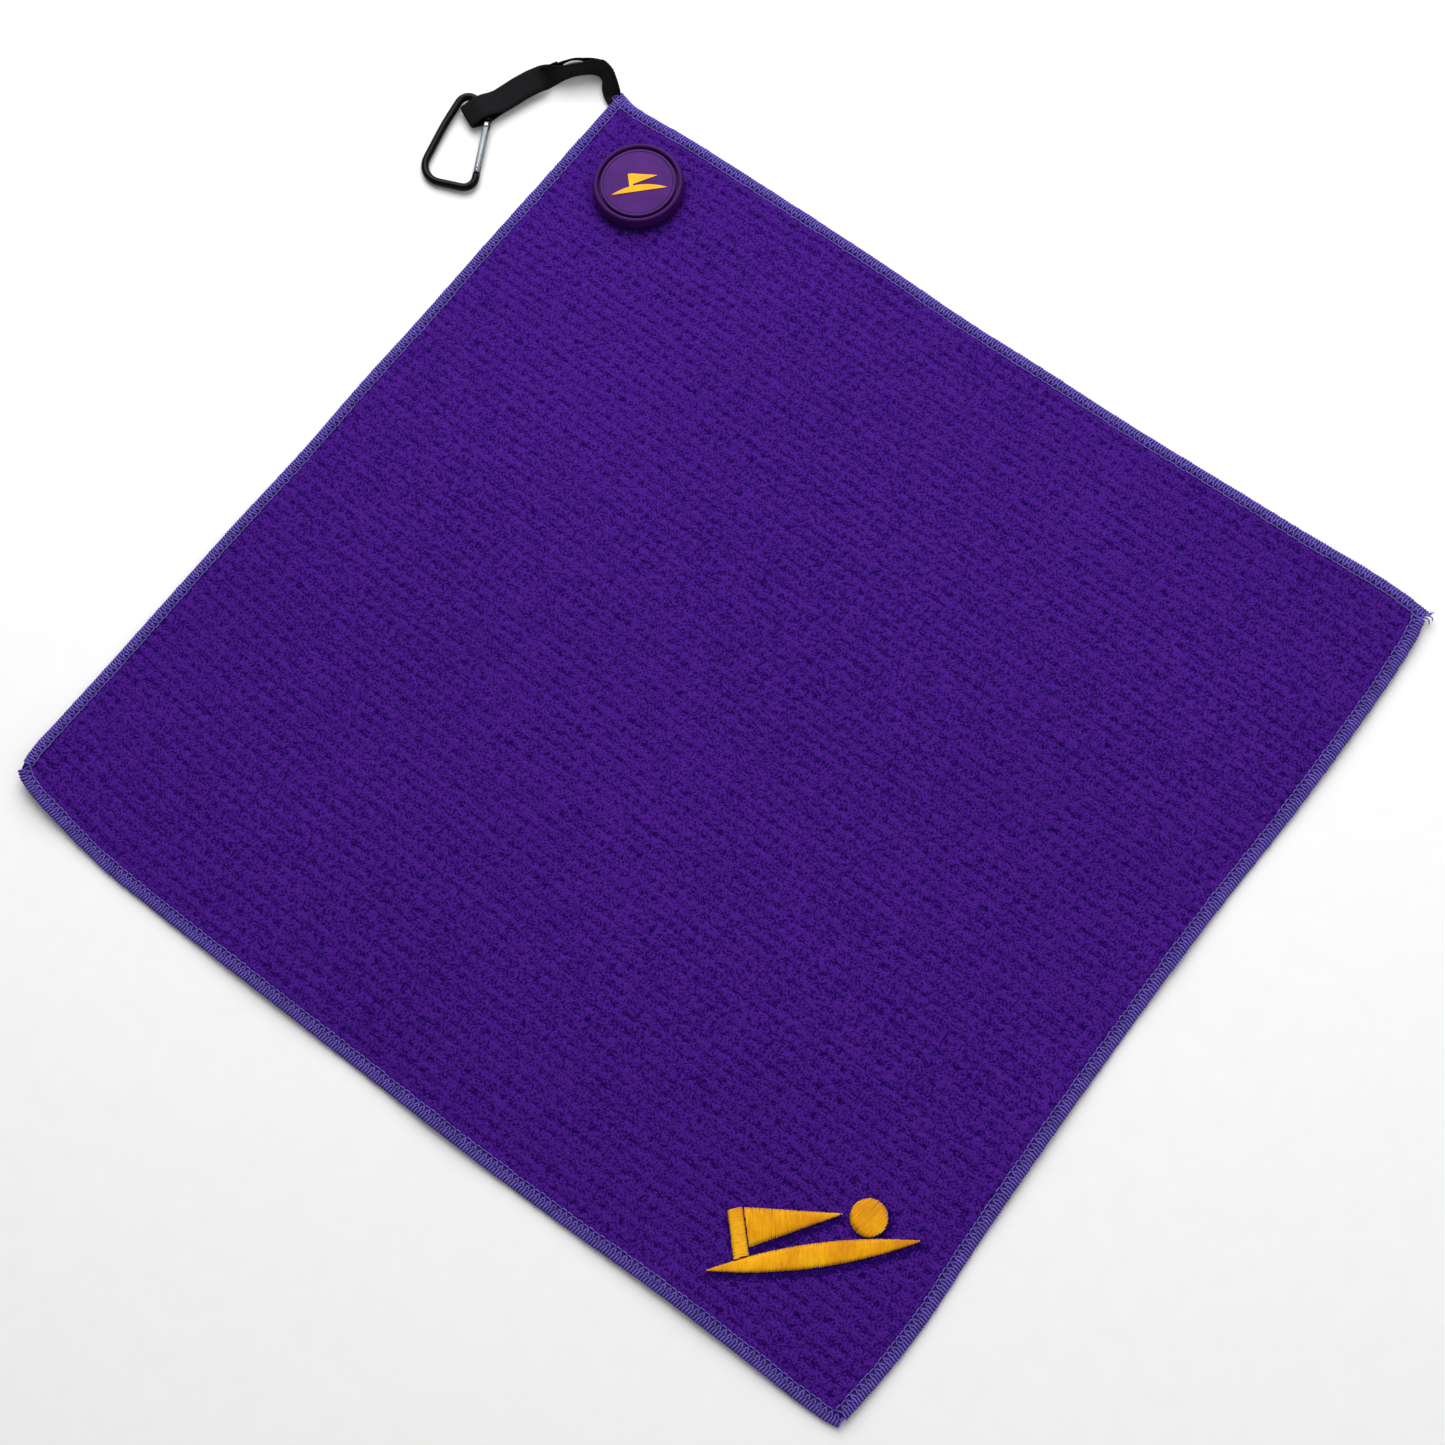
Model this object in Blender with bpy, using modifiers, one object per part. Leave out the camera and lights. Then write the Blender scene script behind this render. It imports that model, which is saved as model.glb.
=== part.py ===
"""Golf towel with a magnetic ball marker, a webbing hanging loop and a small carabiner.

The towel lies flat. The origin is the centre of its underside, +Z is up, +X runs along
the two longer edges and +Y towards the edge with the hanging loop and the ball marker.
"""

import math

import bmesh
import bpy
from mathutils import Matrix, Vector

mm = 0.001

# ---- fits -----------------------------------------------------------------------------
contact_gap = 0.3 * mm  # left between pieces that touch
floor_gap = 0.1 * mm  # under pieces that hang or lie just clear of the table

# ---- towel ----------------------------------------------------------------------------
towel_length = 410 * mm
towel_width = 390 * mm
cloth_thickness = 2.4 * mm
hem_thickness = 0.8 * mm  # the cloth squeezed by the edge stitching
seam_width = 5.5 * mm
seam_thickness = 2.6 * mm
seam_wall = 0.6 * mm

# ---- ball marker and its holder -------------------------------------------------------
marker_from_corner = Vector((37.5, -34.5, 0)) * mm
marker_radius = 16.2 * mm
marker_thickness = 1.8 * mm
enamel_recess_radius = 15.0 * mm
enamel_recess_depth = 0.6 * mm
enamel_thickness = 0.5 * mm
marker_motif_length = 24 * mm
marker_motif_height = 9 * mm
marker_motif_thickness = 0.25 * mm
seat_clearance = 0.95 * mm  # the ring shaped gap round the marker
rim_width = 2.2 * mm
rim_height = 0.6 * mm  # the rim above the marker's face
holder_flare = 0.4 * mm
holder_floor = 1.0 * mm
magnet_radius = 10 * mm
magnet_thickness = 2.0 * mm
rivet_radius = 1.6 * mm
rivet_head_radius = 3.8 * mm
rivet_head_thickness = 0.5 * mm
back_plate_radius = 17 * mm
back_plate_thickness = 1.0 * mm

# ---- embroidered emblem ---------------------------------------------------------------
emblem_from_corner = Vector((-49.5, 49.3, 0)) * mm
emblem_turn = math.radians(45)
emblem_length = 80 * mm
emblem_height = 25 * mm
satin_thickness = 0.9 * mm
green_thickness = 8.5 * mm
pole_width = 5.5 * mm
pole_offset = -26.5 * mm
pennant_length = 36 * mm
pennant_depth = 14.5 * mm
ball_radius = 7 * mm
ball_offset = 22 * mm
stitch_gap = 0.6 * mm
backing_thickness = 0.3 * mm
backing_margin = 3 * mm

# ---- hanging loop ---------------------------------------------------------------------
webbing_width = 11 * mm
webbing_thickness = 1.2 * mm
loop_thickness = 2.6 * mm  # both layers of webbing
tab_length = 13 * mm
tab_thickness = 1.3 * mm
tab_from_corner = Vector((-1.6, -5.8, 0)) * mm
tab_direction = Vector((-1, 0, 0))
flex_gap = 0.1 * mm  # from the sewn end to the line that the loop bends on
fold_length = 8 * mm  # the loop past the carabiner's bar
eye_swell_length = 9 * mm
loop_lean = ((0.0, 0), (0.04, 0), (0.14, 62), (0.22, 66), (0.32, 50), (0.45, 24), (0.6, 6), (0.7, 0))
loop_root_gap = 0.3 * mm  # from the bending line to the loop
loop_route = (  # from the towel's corner
    Vector((-5.2, -5.7, 1.9)) * mm,
    Vector((-9.2, -3.2, 5.0)) * mm,
    Vector((-14.6, -0.8, 6.1)) * mm,
    Vector((-24.0, -5.7, 5.4)) * mm,
    Vector((-30.0, -14.0, 4.3)) * mm,
    Vector((-34.6, -24.5, 3.7)) * mm,
)

# ---- carabiner ------------------------------------------------------------------------
rod_radius = 1.75 * mm
eye_clearance = 0.45 * mm
bar_from_corner = Vector((-42.7, -43.8, 0)) * mm
carabiner_heading = math.radians(-79.6)
bar_angle = math.radians(55.5)  # from the carabiner's long axis
bare_bar = 8 * mm  # between the loop and the spine corner
gate_angle = math.radians(17.9)
gate_line_length = 34.3 * mm  # from the gate corner to the nose corner
spine_middle = Vector((12.75, -11.8, 0)) * mm
wide_corner = Vector((40.9, -10.3, 0)) * mm
spine_corner_radius = 4.6 * mm
spine_bow_radius = 100 * mm
wide_corner_radius = 9 * mm
nose_corner_radius = 4.8 * mm
gate_corner_radius = 3 * mm
pivot_offset = 3.2 * mm  # from the gate corner
gate_length = 23.2 * mm  # from the pivot to the nose end
gate_radius = 1.6 * mm
gate_heel = 1.5 * mm
tang_thickness = 1.2 * mm
tang_height = 2.6 * mm
tang_reach = 1.3 * mm
pivot_radius = 0.6 * mm
pivot_head_radius = 1.05 * mm
pivot_head_height = 0.3 * mm
latch_radius = 0.45 * mm
latch_inset = 1.25 * mm  # from the gate's free end
latch_tip = 1.0 * mm  # of the hook past the latch pin
spring_radius = 0.5 * mm
spring_wire_radius = 0.16 * mm
spring_length = 8 * mm
spring_turns = 7

# ---- fits worked out from the sizes above ---------------------------------------------
half_length = towel_length / 2
half_width = towel_width / 2
loop_corner = Vector((-half_length, half_width, 0))
emblem_corner = Vector((half_length, -half_width, 0))
marker_place = loop_corner + marker_from_corner
emblem_place = emblem_corner + emblem_from_corner
tab_end = loop_corner + tab_from_corner
bar_place = loop_corner + bar_from_corner
bar_after = webbing_width / 2 + contact_gap  # from the loop's middle to the gate corner
bar_before = webbing_width / 2 + bare_bar
hem_low = (seam_thickness - hem_thickness) / 2
hem_high = hem_low + hem_thickness
holder_low = cloth_thickness + contact_gap
rivet_seat = holder_low + holder_floor
rivet_pocket = 2 * contact_gap + rivet_head_thickness
magnet_low = rivet_seat + rivet_pocket
magnet_ledge = magnet_low - contact_gap
seat_height = magnet_low + magnet_thickness
marker_low = seat_height + contact_gap
marker_high = marker_low + marker_thickness
rim_top = marker_high + rim_height
seat_radius = marker_radius + seat_clearance
holder_radius = seat_radius + rim_width
satin_low = cloth_thickness + contact_gap
eye_radius = rod_radius + eye_clearance
eye_thickness = 2 * (eye_radius + webbing_thickness)
bar_height = floor_gap + eye_thickness / 2
slot_width = tang_thickness + 2 * contact_gap


def clear_scene():
    for old in list(bpy.data.objects):
        bpy.data.objects.remove(old, do_unlink=True)


def collection(name):
    made = bpy.data.collections.new(name)
    bpy.context.scene.collection.children.link(made)
    return made


def material(name, colour, roughness, metallic=0.0):
    made = bpy.data.materials.new(name)
    made.use_nodes = True
    shader = made.node_tree.nodes["Principled BSDF"]
    shader.inputs["Base Color"].default_value = (*colour, 1.0)
    shader.inputs["Roughness"].default_value = roughness
    shader.inputs["Metallic"].default_value = metallic
    made.diffuse_color = (*colour, 1.0)
    return made


def place(obj, where, parent=None):
    """Puts the object in its collection, under its parent."""
    where.objects.link(obj)
    obj.parent = parent
    return obj


def face_outward(bm):
    """Turns every face of a closed shape outward, also on a shape too small for Blender's own test."""
    bmesh.ops.recalc_face_normals(bm, faces=bm.faces)
    if bm.calc_volume(signed=True) < 0:
        bmesh.ops.reverse_faces(bm, faces=bm.faces)


def mesh_object(name, bm, look=None):
    mesh = bpy.data.meshes.new(name)
    face_outward(bm)
    bm.to_mesh(mesh)
    bm.free()
    if look:
        mesh.materials.append(look)
    return bpy.data.objects.new(name, mesh)


def shade_smooth(obj, sharp_degrees=35):
    obj.data.shade_smooth()
    obj.data.set_sharp_from_angle(angle=math.radians(sharp_degrees))


def block(name, low, high, look=None):
    """A box between two corners, in the object's own axes."""
    bm = bmesh.new()
    bmesh.ops.create_cube(bm, size=1.0)
    low, high = Vector(low), Vector(high)
    size = high - low
    bmesh.ops.scale(bm, vec=size, verts=bm.verts)
    bmesh.ops.translate(bm, vec=(low + high) / 2, verts=bm.verts)
    return mesh_object(name, bm, look)


def rod(name, radius, start, end, look=None, segments=24):
    """A cylinder between two points."""
    start, end = Vector(start), Vector(end)
    along = end - start
    bm = bmesh.new()
    bmesh.ops.create_cone(
        bm, cap_ends=True, segments=segments, radius1=radius, radius2=radius, depth=along.length
    )
    turn = along.to_track_quat("Z", "Y").to_matrix().to_4x4()
    bm.transform(Matrix.Translation((start + end) / 2) @ turn)
    return mesh_object(name, bm, look)


def turned(name, profile, look, closed=False, steps=56):
    """A profile of (radius, height) pairs, from the top down its outer side, turned about Z."""
    mesh = bpy.data.meshes.new(name)
    count = len(profile)
    edges = [(i, i + 1) for i in range(count - 1)]
    if closed:
        edges.append((count - 1, 0))
    mesh.from_pydata([(r, 0, z) for r, z in profile], edges, [])
    mesh.materials.append(look)
    obj = bpy.data.objects.new(name, mesh)
    screw = obj.modifiers.new("turn", "SCREW")
    screw.steps = screw.render_steps = steps
    screw.use_merge_vertices = True
    screw.merge_threshold = 0.00001
    screw.use_smooth_shade = True
    return obj


def flat_shape(name, outline, thickness, look):
    """A flat outline of (x, y) pairs, extruded about its own plane."""
    curve = bpy.data.curves.new(name, "CURVE")
    curve.dimensions = "2D"
    curve.fill_mode = "BOTH"
    curve.extrude = thickness / 2
    spline = curve.splines.new("POLY")
    spline.points.add(len(outline) - 1)
    for point, (x, y) in zip(spline.points, outline):
        point.co = (x, y, 0, 1)
    spline.use_cyclic_u = True
    if look:
        curve.materials.append(look)
    return bpy.data.objects.new(name, curve)


def tube(name, points, radius, look, bevel_resolution=3):
    """A round wire through the points, with filled ends."""
    curve = bpy.data.curves.new(name, "CURVE")
    curve.dimensions = "3D"
    curve.bevel_depth = radius
    curve.bevel_resolution = bevel_resolution
    curve.use_fill_caps = True
    spline = curve.splines.new("POLY")
    spline.points.add(len(points) - 1)
    for point, co in zip(spline.points, points):
        point.co = (*co, 1)
    if look:
        curve.materials.append(look)
    return bpy.data.objects.new(name, curve)


def as_mesh(obj, where):
    """The curve object as a mesh with its caps joined to its sides, in its place."""
    where.objects.link(obj)
    bpy.context.view_layer.update()
    graph = bpy.context.evaluated_depsgraph_get()
    mesh = bpy.data.meshes.new_from_object(obj.evaluated_get(graph))
    bm = bmesh.new()
    bm.from_mesh(mesh)
    bmesh.ops.remove_doubles(bm, verts=bm.verts, dist=0.000002)
    face_outward(bm)
    bm.to_mesh(mesh)
    bm.free()
    name = obj.name
    solid = bpy.data.objects.new(name, mesh)
    solid.matrix_world = obj.matrix_world.copy()
    bpy.data.objects.remove(obj, do_unlink=True)
    solid.name = name
    return solid


def boolean(obj, operation, other, cutters):
    """Joins or cuts with a helper, which is kept hidden among the cutters."""
    if other.name not in cutters.objects:
        cutters.objects.link(other)
    other.hide_render = True
    other.display_type = "WIRE"
    modifier = obj.modifiers.new(other.name, "BOOLEAN")
    modifier.operation = operation
    modifier.object = other
    modifier.solver = "EXACT"


def rounded_path(corners, segment=math.radians(12)):
    """Points along straight runs joined by arcs; corners are (point, radius) pairs."""
    points = [corners[0][0]]
    for (before, _), (corner, radius), (after, _) in zip(corners, corners[1:], corners[2:]):
        inward, outward = (before - corner).normalized(), (after - corner).normalized()
        half = inward.angle(outward) / 2
        start = corner + inward * radius / math.tan(half)
        centre = corner + (inward + outward).normalized() * radius / math.sin(half)
        sweep = math.pi - 2 * half
        side = 1 if inward.cross(outward).z < 0 else -1
        count = max(2, math.ceil(sweep / segment))
        arm = start - centre
        for i in range(count + 1):
            points.append(centre + Matrix.Rotation(side * sweep * i / count, 3, "Z") @ arm)
    points.append(corners[-1][0])
    return points


def seam_outline():
    """The C shaped section of the edge stitching, with its mouth to -X and its back at x = 0."""
    half = seam_thickness / 2
    slot = half - seam_wall
    corner = half * 0.6
    arc = [math.radians(15 * i) for i in range(7)]
    upper = [
        (-corner + corner * math.sin(a), half - corner + corner * math.cos(a)) for a in arc
    ]
    lower = [(x, -y) for x, y in reversed(upper)]
    mouth = -seam_width
    back = -seam_wall
    return [
        (mouth, slot), (mouth, half), *upper, *lower,
        (mouth, -half), (mouth, -slot), (back, -slot), (back, slot),
    ]


def seam(name, length, centre, facing, look, where):
    """One run of edge stitching, round the cloth's edge that faces the given direction."""
    obj = flat_shape(name, seam_outline(), length, look)
    outward = Vector(facing)
    up = Vector((0, 0, 1))
    turn = Matrix((outward, up, outward.cross(up))).transposed().to_4x4()
    obj.matrix_world = Matrix.Translation((*centre, seam_thickness / 2)) @ turn
    return as_mesh(obj, where)


def tab_frame():
    """The sewn end's axes: +X out of the corner, +Y across the webbing, +Z up."""
    across = Vector((0, 0, 1)).cross(tab_direction)
    turn = Matrix((tab_direction, across, Vector((0, 0, 1)))).transposed().to_4x4()
    return Matrix.Translation(tab_end) @ turn


def make_tab(look):
    half = webbing_width / 2
    tab = block(
        "loop_sewn_end",
        (-tab_length, -half, floor_gap),
        (0, half, floor_gap + tab_thickness),
        look,
    )
    tab.data.transform(tab_frame())
    return tab


def tab_clearance(name):
    half = webbing_width / 2 + contact_gap
    cutter = block(
        name,
        (-tab_length - contact_gap, -half, -seam_thickness),
        (tab_length, half, floor_gap + tab_thickness + contact_gap),
    )
    cutter.data.transform(tab_frame())
    return cutter


def backing_block(name, margin, low, high):
    half_x = emblem_length / 2 + backing_margin + margin
    half_y = emblem_height / 2 + backing_margin + margin
    made = block(name, (-half_x, -half_y, low), (half_x, half_y, high))
    made.data.transform(Matrix.Translation(emblem_place) @ Matrix.Rotation(emblem_turn, 4, "Z"))
    return made


def make_cloth(look, where, cutters):
    inner_x = half_length - seam_width - contact_gap
    inner_y = half_width - seam_width - contact_gap
    hem_x = half_length - seam_wall - contact_gap
    hem_y = half_width - seam_wall - contact_gap
    cloth = block(
        "towel_cloth", (-inner_x, -inner_y, 0), (inner_x, inner_y, cloth_thickness), look
    )
    hem = block("hem_joined", (-hem_x, -hem_y, hem_low), (hem_x, hem_y, hem_high))
    boolean(cloth, "UNION", hem, cutters)
    boolean(cloth, "DIFFERENCE", tab_clearance("tab_space"), cutters)
    plate_top = floor_gap + back_plate_thickness + contact_gap
    below = marker_place - Vector((0, 0, cloth_thickness))
    plate_space = rod(
        "plate_space",
        back_plate_radius + contact_gap,
        below,
        marker_place + Vector((0, 0, plate_top)),
        segments=56,
    )
    boolean(cloth, "DIFFERENCE", plate_space, cutters)
    rivet_hole = rod(
        "rivet_hole",
        rivet_radius + contact_gap,
        below,
        marker_place + Vector((0, 0, 2 * cloth_thickness)),
    )
    boolean(cloth, "DIFFERENCE", rivet_hole, cutters)
    backing_top = floor_gap + backing_thickness + contact_gap
    backing_space = backing_block("backing_space", contact_gap, -cloth_thickness, backing_top)
    boolean(cloth, "DIFFERENCE", backing_space, cutters)
    place(cloth, where)


def make_seams(look, where, cutters):
    inner_length = towel_width - 2 * (seam_width + contact_gap)
    runs = (
        ("seam_top_edge", towel_length, (0, half_width), (0, 1, 0)),
        ("seam_bottom_edge", towel_length, (0, -half_width), (0, -1, 0)),
        ("seam_left_edge", inner_length, (-half_length, 0), (-1, 0, 0)),
        ("seam_right_edge", inner_length, (half_length, 0), (1, 0, 0)),
    )
    for name, length, centre, facing in runs:
        made = seam(name, length, centre, facing, look, where)
        shade_smooth(made)
        place(made, where)
        if name in ("seam_top_edge", "seam_left_edge"):
            boolean(made, "DIFFERENCE", tab_clearance(name + "_tab_space"), cutters)


def make_marker_holder(rubber, steel, magnet_look, plastic, where):
    base = holder_radius + holder_flare
    crown = rim_width / 2
    crown_middle = seat_radius + crown
    arc = [math.radians(30 * i) for i in range(7)]
    crest = [
        (crown_middle - crown * math.cos(a), rim_top - crown * (1 - math.sin(a))) for a in arc
    ]
    holder = turned(
        "marker_holder",
        [
            (seat_radius, seat_height),
            *crest,
            (holder_radius, marker_low),
            (base, holder_low + 2 * contact_gap),
            (base, holder_low),
            (rivet_radius + contact_gap, holder_low),
            (rivet_radius + contact_gap, rivet_seat),
            (rivet_head_radius + contact_gap, rivet_seat),
            (rivet_head_radius + contact_gap, magnet_ledge),
            (magnet_radius + contact_gap, magnet_ledge),
            (magnet_radius + contact_gap, seat_height),
        ],
        rubber,
        closed=True,
    )
    magnet = turned(
        "holder_magnet",
        [
            (0, seat_height), (magnet_radius, seat_height),
            (magnet_radius, magnet_low), (0, magnet_low),
        ],
        magnet_look,
    )
    head_low = rivet_seat + contact_gap
    foot_top = floor_gap + rivet_head_thickness
    rivet = turned(
        "holder_rivet",
        [
            (0, head_low + rivet_head_thickness),
            (rivet_head_radius, head_low + rivet_head_thickness),
            (rivet_head_radius, head_low),
            (rivet_radius, head_low),
            (rivet_radius, foot_top),
            (rivet_head_radius, foot_top),
            (rivet_head_radius, floor_gap),
            (0, floor_gap),
        ],
        steel,
        steps=32,
    )
    plate_top = floor_gap + back_plate_thickness
    foot_roof = foot_top + contact_gap
    plate = turned(
        "holder_back_plate",
        [
            (rivet_radius + contact_gap, plate_top),
            (back_plate_radius, plate_top),
            (back_plate_radius, floor_gap),
            (rivet_head_radius + contact_gap, floor_gap),
            (rivet_head_radius + contact_gap, foot_roof),
            (rivet_radius + contact_gap, foot_roof),
        ],
        plastic,
        closed=True,
    )
    for obj in (holder, magnet, rivet, plate):
        obj.location = marker_place
        place(obj, where)


def flag_outline(length, height, pole, at, pennant, depth, green):
    """A flag on its stick, standing on a mound, as one outline centred on its box."""
    foot = -height / 2
    left, right = at - pole / 2, at + pole / 2

    def mound(x):
        return foot + green * (1 - (2 * x / length) ** 2)

    top = height / 2
    steps = 12
    first = [-length / 2 + (left + length / 2) * i / steps for i in range(steps + 1)]
    second = [right + (length / 2 - right) * i / steps for i in range(steps + 1)]
    return [
        *((x, mound(x)) for x in first),
        (left, top),
        (right, top),
        (right + pennant, top - depth / 2),
        (right, top - depth),
        *((x, mound(x)) for x in second),
    ]


def make_marker(steel, enamel, gold, where):
    frame = bpy.data.objects.new("marker_frame", None)
    frame.location = marker_place
    place(frame, where)
    edge = 0.25 * mm
    inlay_floor = marker_high - enamel_recess_depth
    disc = turned(
        "marker_disc",
        [
            (0, inlay_floor),
            (enamel_recess_radius, inlay_floor),
            (enamel_recess_radius, marker_high),
            (marker_radius - edge, marker_high),
            (marker_radius, marker_high - edge),
            (marker_radius, marker_low + edge),
            (marker_radius - edge, marker_low),
            (0, marker_low),
        ],
        steel,
    )
    enamel_low = inlay_floor + 0.05 * mm
    enamel_high = enamel_low + enamel_thickness
    enamel_radius = enamel_recess_radius - 0.1 * mm
    face = turned(
        "marker_enamel",
        [
            (0, enamel_high), (enamel_radius, enamel_high),
            (enamel_radius, enamel_low), (0, enamel_low),
        ],
        enamel,
    )
    motif_scale = marker_motif_length / emblem_length
    outline = flag_outline(
        marker_motif_length,
        marker_motif_height,
        pole_width * motif_scale,
        -marker_motif_length / 8,
        pennant_length * motif_scale,
        marker_motif_height * 0.58,
        marker_motif_height * 0.34,
    )
    motif = flat_shape("marker_motif", outline, marker_motif_thickness, gold)
    motif_middle = enamel_high + 0.1 * mm + marker_motif_thickness / 2
    motif.location = (0, 0, motif_middle)
    motif.rotation_euler = (0, 0, emblem_turn)
    for obj in (disc, face, motif):
        place(obj, where, frame)


def make_emblem(gold, backing_look, where):
    frame = bpy.data.objects.new("emblem_frame", None)
    frame.location = emblem_place + Vector((0, 0, satin_low + satin_thickness / 2))
    frame.rotation_euler = (0, 0, emblem_turn)
    place(frame, where)
    foot = -emblem_height / 2
    half = emblem_length / 2
    rise = green_thickness / 2
    level = foot + rise
    steps = 20
    spread = [-half + emblem_length * i / steps for i in range(steps + 1)]
    upper = [(x, level + rise * (1 - (x / half) ** 2)) for x in spread]
    lower = [(x, 2 * level - y) for x, y in reversed(upper[1:-1])]

    def ground(x):
        return level + rise * (1 - (x / half) ** 2) + stitch_gap

    pole_left = pole_offset - pole_width / 2
    pole_right = pole_offset + pole_width / 2
    top = emblem_height / 2
    pole = [
        (pole_left, ground(pole_left)), (pole_right, ground(pole_right)),
        (pole_right, top), (pole_left, top),
    ]
    root = pole_right + stitch_gap
    pennant = [(root, top - pennant_depth), (root + pennant_length, top - pennant_depth / 2), (root, top)]
    middle = ground(ball_offset) + ball_radius + stitch_gap / 2
    ball = [
        (
            ball_offset + ball_radius * math.cos(math.radians(10 * i)),
            middle + ball_radius * math.sin(math.radians(10 * i)),
        )
        for i in range(36)
    ]
    shapes = (
        ("emblem_green", upper + lower),
        ("emblem_pole", pole),
        ("emblem_pennant", pennant),
        ("emblem_ball", ball),
    )
    for name, outline in shapes:
        place(flat_shape(name, outline, satin_thickness, gold), where, frame)
    backing = backing_block("emblem_backing", 0, floor_gap, floor_gap + backing_thickness)
    backing.data.materials.append(backing_look)
    place(backing, where)


def bar_frame():
    """The carabiner's axes at the bar, in the loop: +X to its wide end, +Y to its gate."""
    reach = wide_corner - Vector((wide_corner_radius, 0, 0)) * 0.3
    bar = Vector((math.cos(bar_angle), math.sin(bar_angle), 0))
    off_bar = abs(bar.cross(reach).z)
    dip = math.asin((bar_height - floor_gap - rod_radius) / off_bar)
    lay_down = Matrix.Rotation(dip, 4, bar)
    heading = Matrix.Rotation(carabiner_heading, 4, "Z")
    return Matrix.Translation(bar_place + Vector((0, 0, bar_height))) @ heading @ lay_down


def smooth_route(points, per_span=6):
    """A smooth curve through the points."""
    ends = [2 * points[0] - points[1], *points, 2 * points[-1] - points[-2]]
    route = []
    for a, b, c, d in zip(ends, ends[1:], ends[2:], ends[3:]):
        for i in range(per_span):
            t = i / per_span
            route.append(
                0.5
                * (
                    2 * b
                    + (c - a) * t
                    + (2 * a - 5 * b + 4 * c - d) * t * t
                    + (3 * b - a - 3 * c + d) * t**3
                )
            )
    route.append(points[-1])
    return route


def lean_at(share):
    for (s0, a0), (s1, a1) in zip(loop_lean, loop_lean[1:]):
        if share <= s1:
            t = (share - s0) / (s1 - s0)
            return math.radians(a0 + (a1 - a0) * (3 * t * t - 2 * t**3))
    return math.radians(loop_lean[-1][1])


def make_loop(look, where, cutters):
    frame = bar_frame()
    bar = (frame.to_3x3() @ Vector((math.cos(bar_angle), math.sin(bar_angle), 0)))
    bar = Vector((bar.x, bar.y, 0)).normalized()
    onward = bar.cross(Vector((0, 0, 1)))
    if onward.y > 0:
        onward = -onward
    centre = frame.translation
    straight = [centre - onward * eye_swell_length * 1.05, centre, centre + onward * fold_length]
    origin = tab_end + tab_direction * flex_gap + Vector((0, 0, floor_gap + tab_thickness))
    root = origin + tab_direction * loop_root_gap
    route = smooth_route([root, *(loop_corner + step for step in loop_route), *straight])
    lengths = [0.0]
    for a, b in zip(route, route[1:]):
        lengths.append(lengths[-1] + (b - a).length)
    total = lengths[-1]
    bar_at = total - fold_length
    bm = bmesh.new()
    rings = []
    for i, point in enumerate(route):
        ahead = route[min(i + 1, len(route) - 1)] - route[max(i - 1, 0)]
        tangent = ahead.normalized() if i > 1 else tab_direction
        level = Vector((0, 0, 1)).cross(tangent).normalized()
        across = Matrix.Rotation(-lean_at(lengths[i] / total), 3, tangent) @ level
        face = tangent.cross(across).normalized()
        off = (lengths[i] - bar_at) / eye_swell_length
        swell = math.cos(min(abs(off), 1) * math.pi / 2) ** 2
        thickness = loop_thickness + (eye_thickness - loop_thickness) * swell
        side = across * webbing_width / 2
        depth = face * thickness / 2
        corners = (-side - depth, side - depth, side + depth, -side + depth)
        rings.append([bm.verts.new(point + corner) for corner in corners])
    for low, high in zip(rings, rings[1:]):
        for j in range(4):
            bm.faces.new((low[j], low[(j + 1) % 4], high[(j + 1) % 4], high[j]))
    bm.faces.new(rings[0][::-1])
    bm.faces.new(rings[-1])
    loop = mesh_object("hanging_loop", bm, look)
    loop.data.transform(Matrix.Translation(-origin))
    loop.location = origin
    eye = rod(
        "loop_eye",
        eye_radius,
        centre - bar * webbing_width,
        centre + bar * webbing_width,
        segments=28,
    )
    boolean(loop, "DIFFERENCE", eye, cutters)
    place(loop, where)


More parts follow.
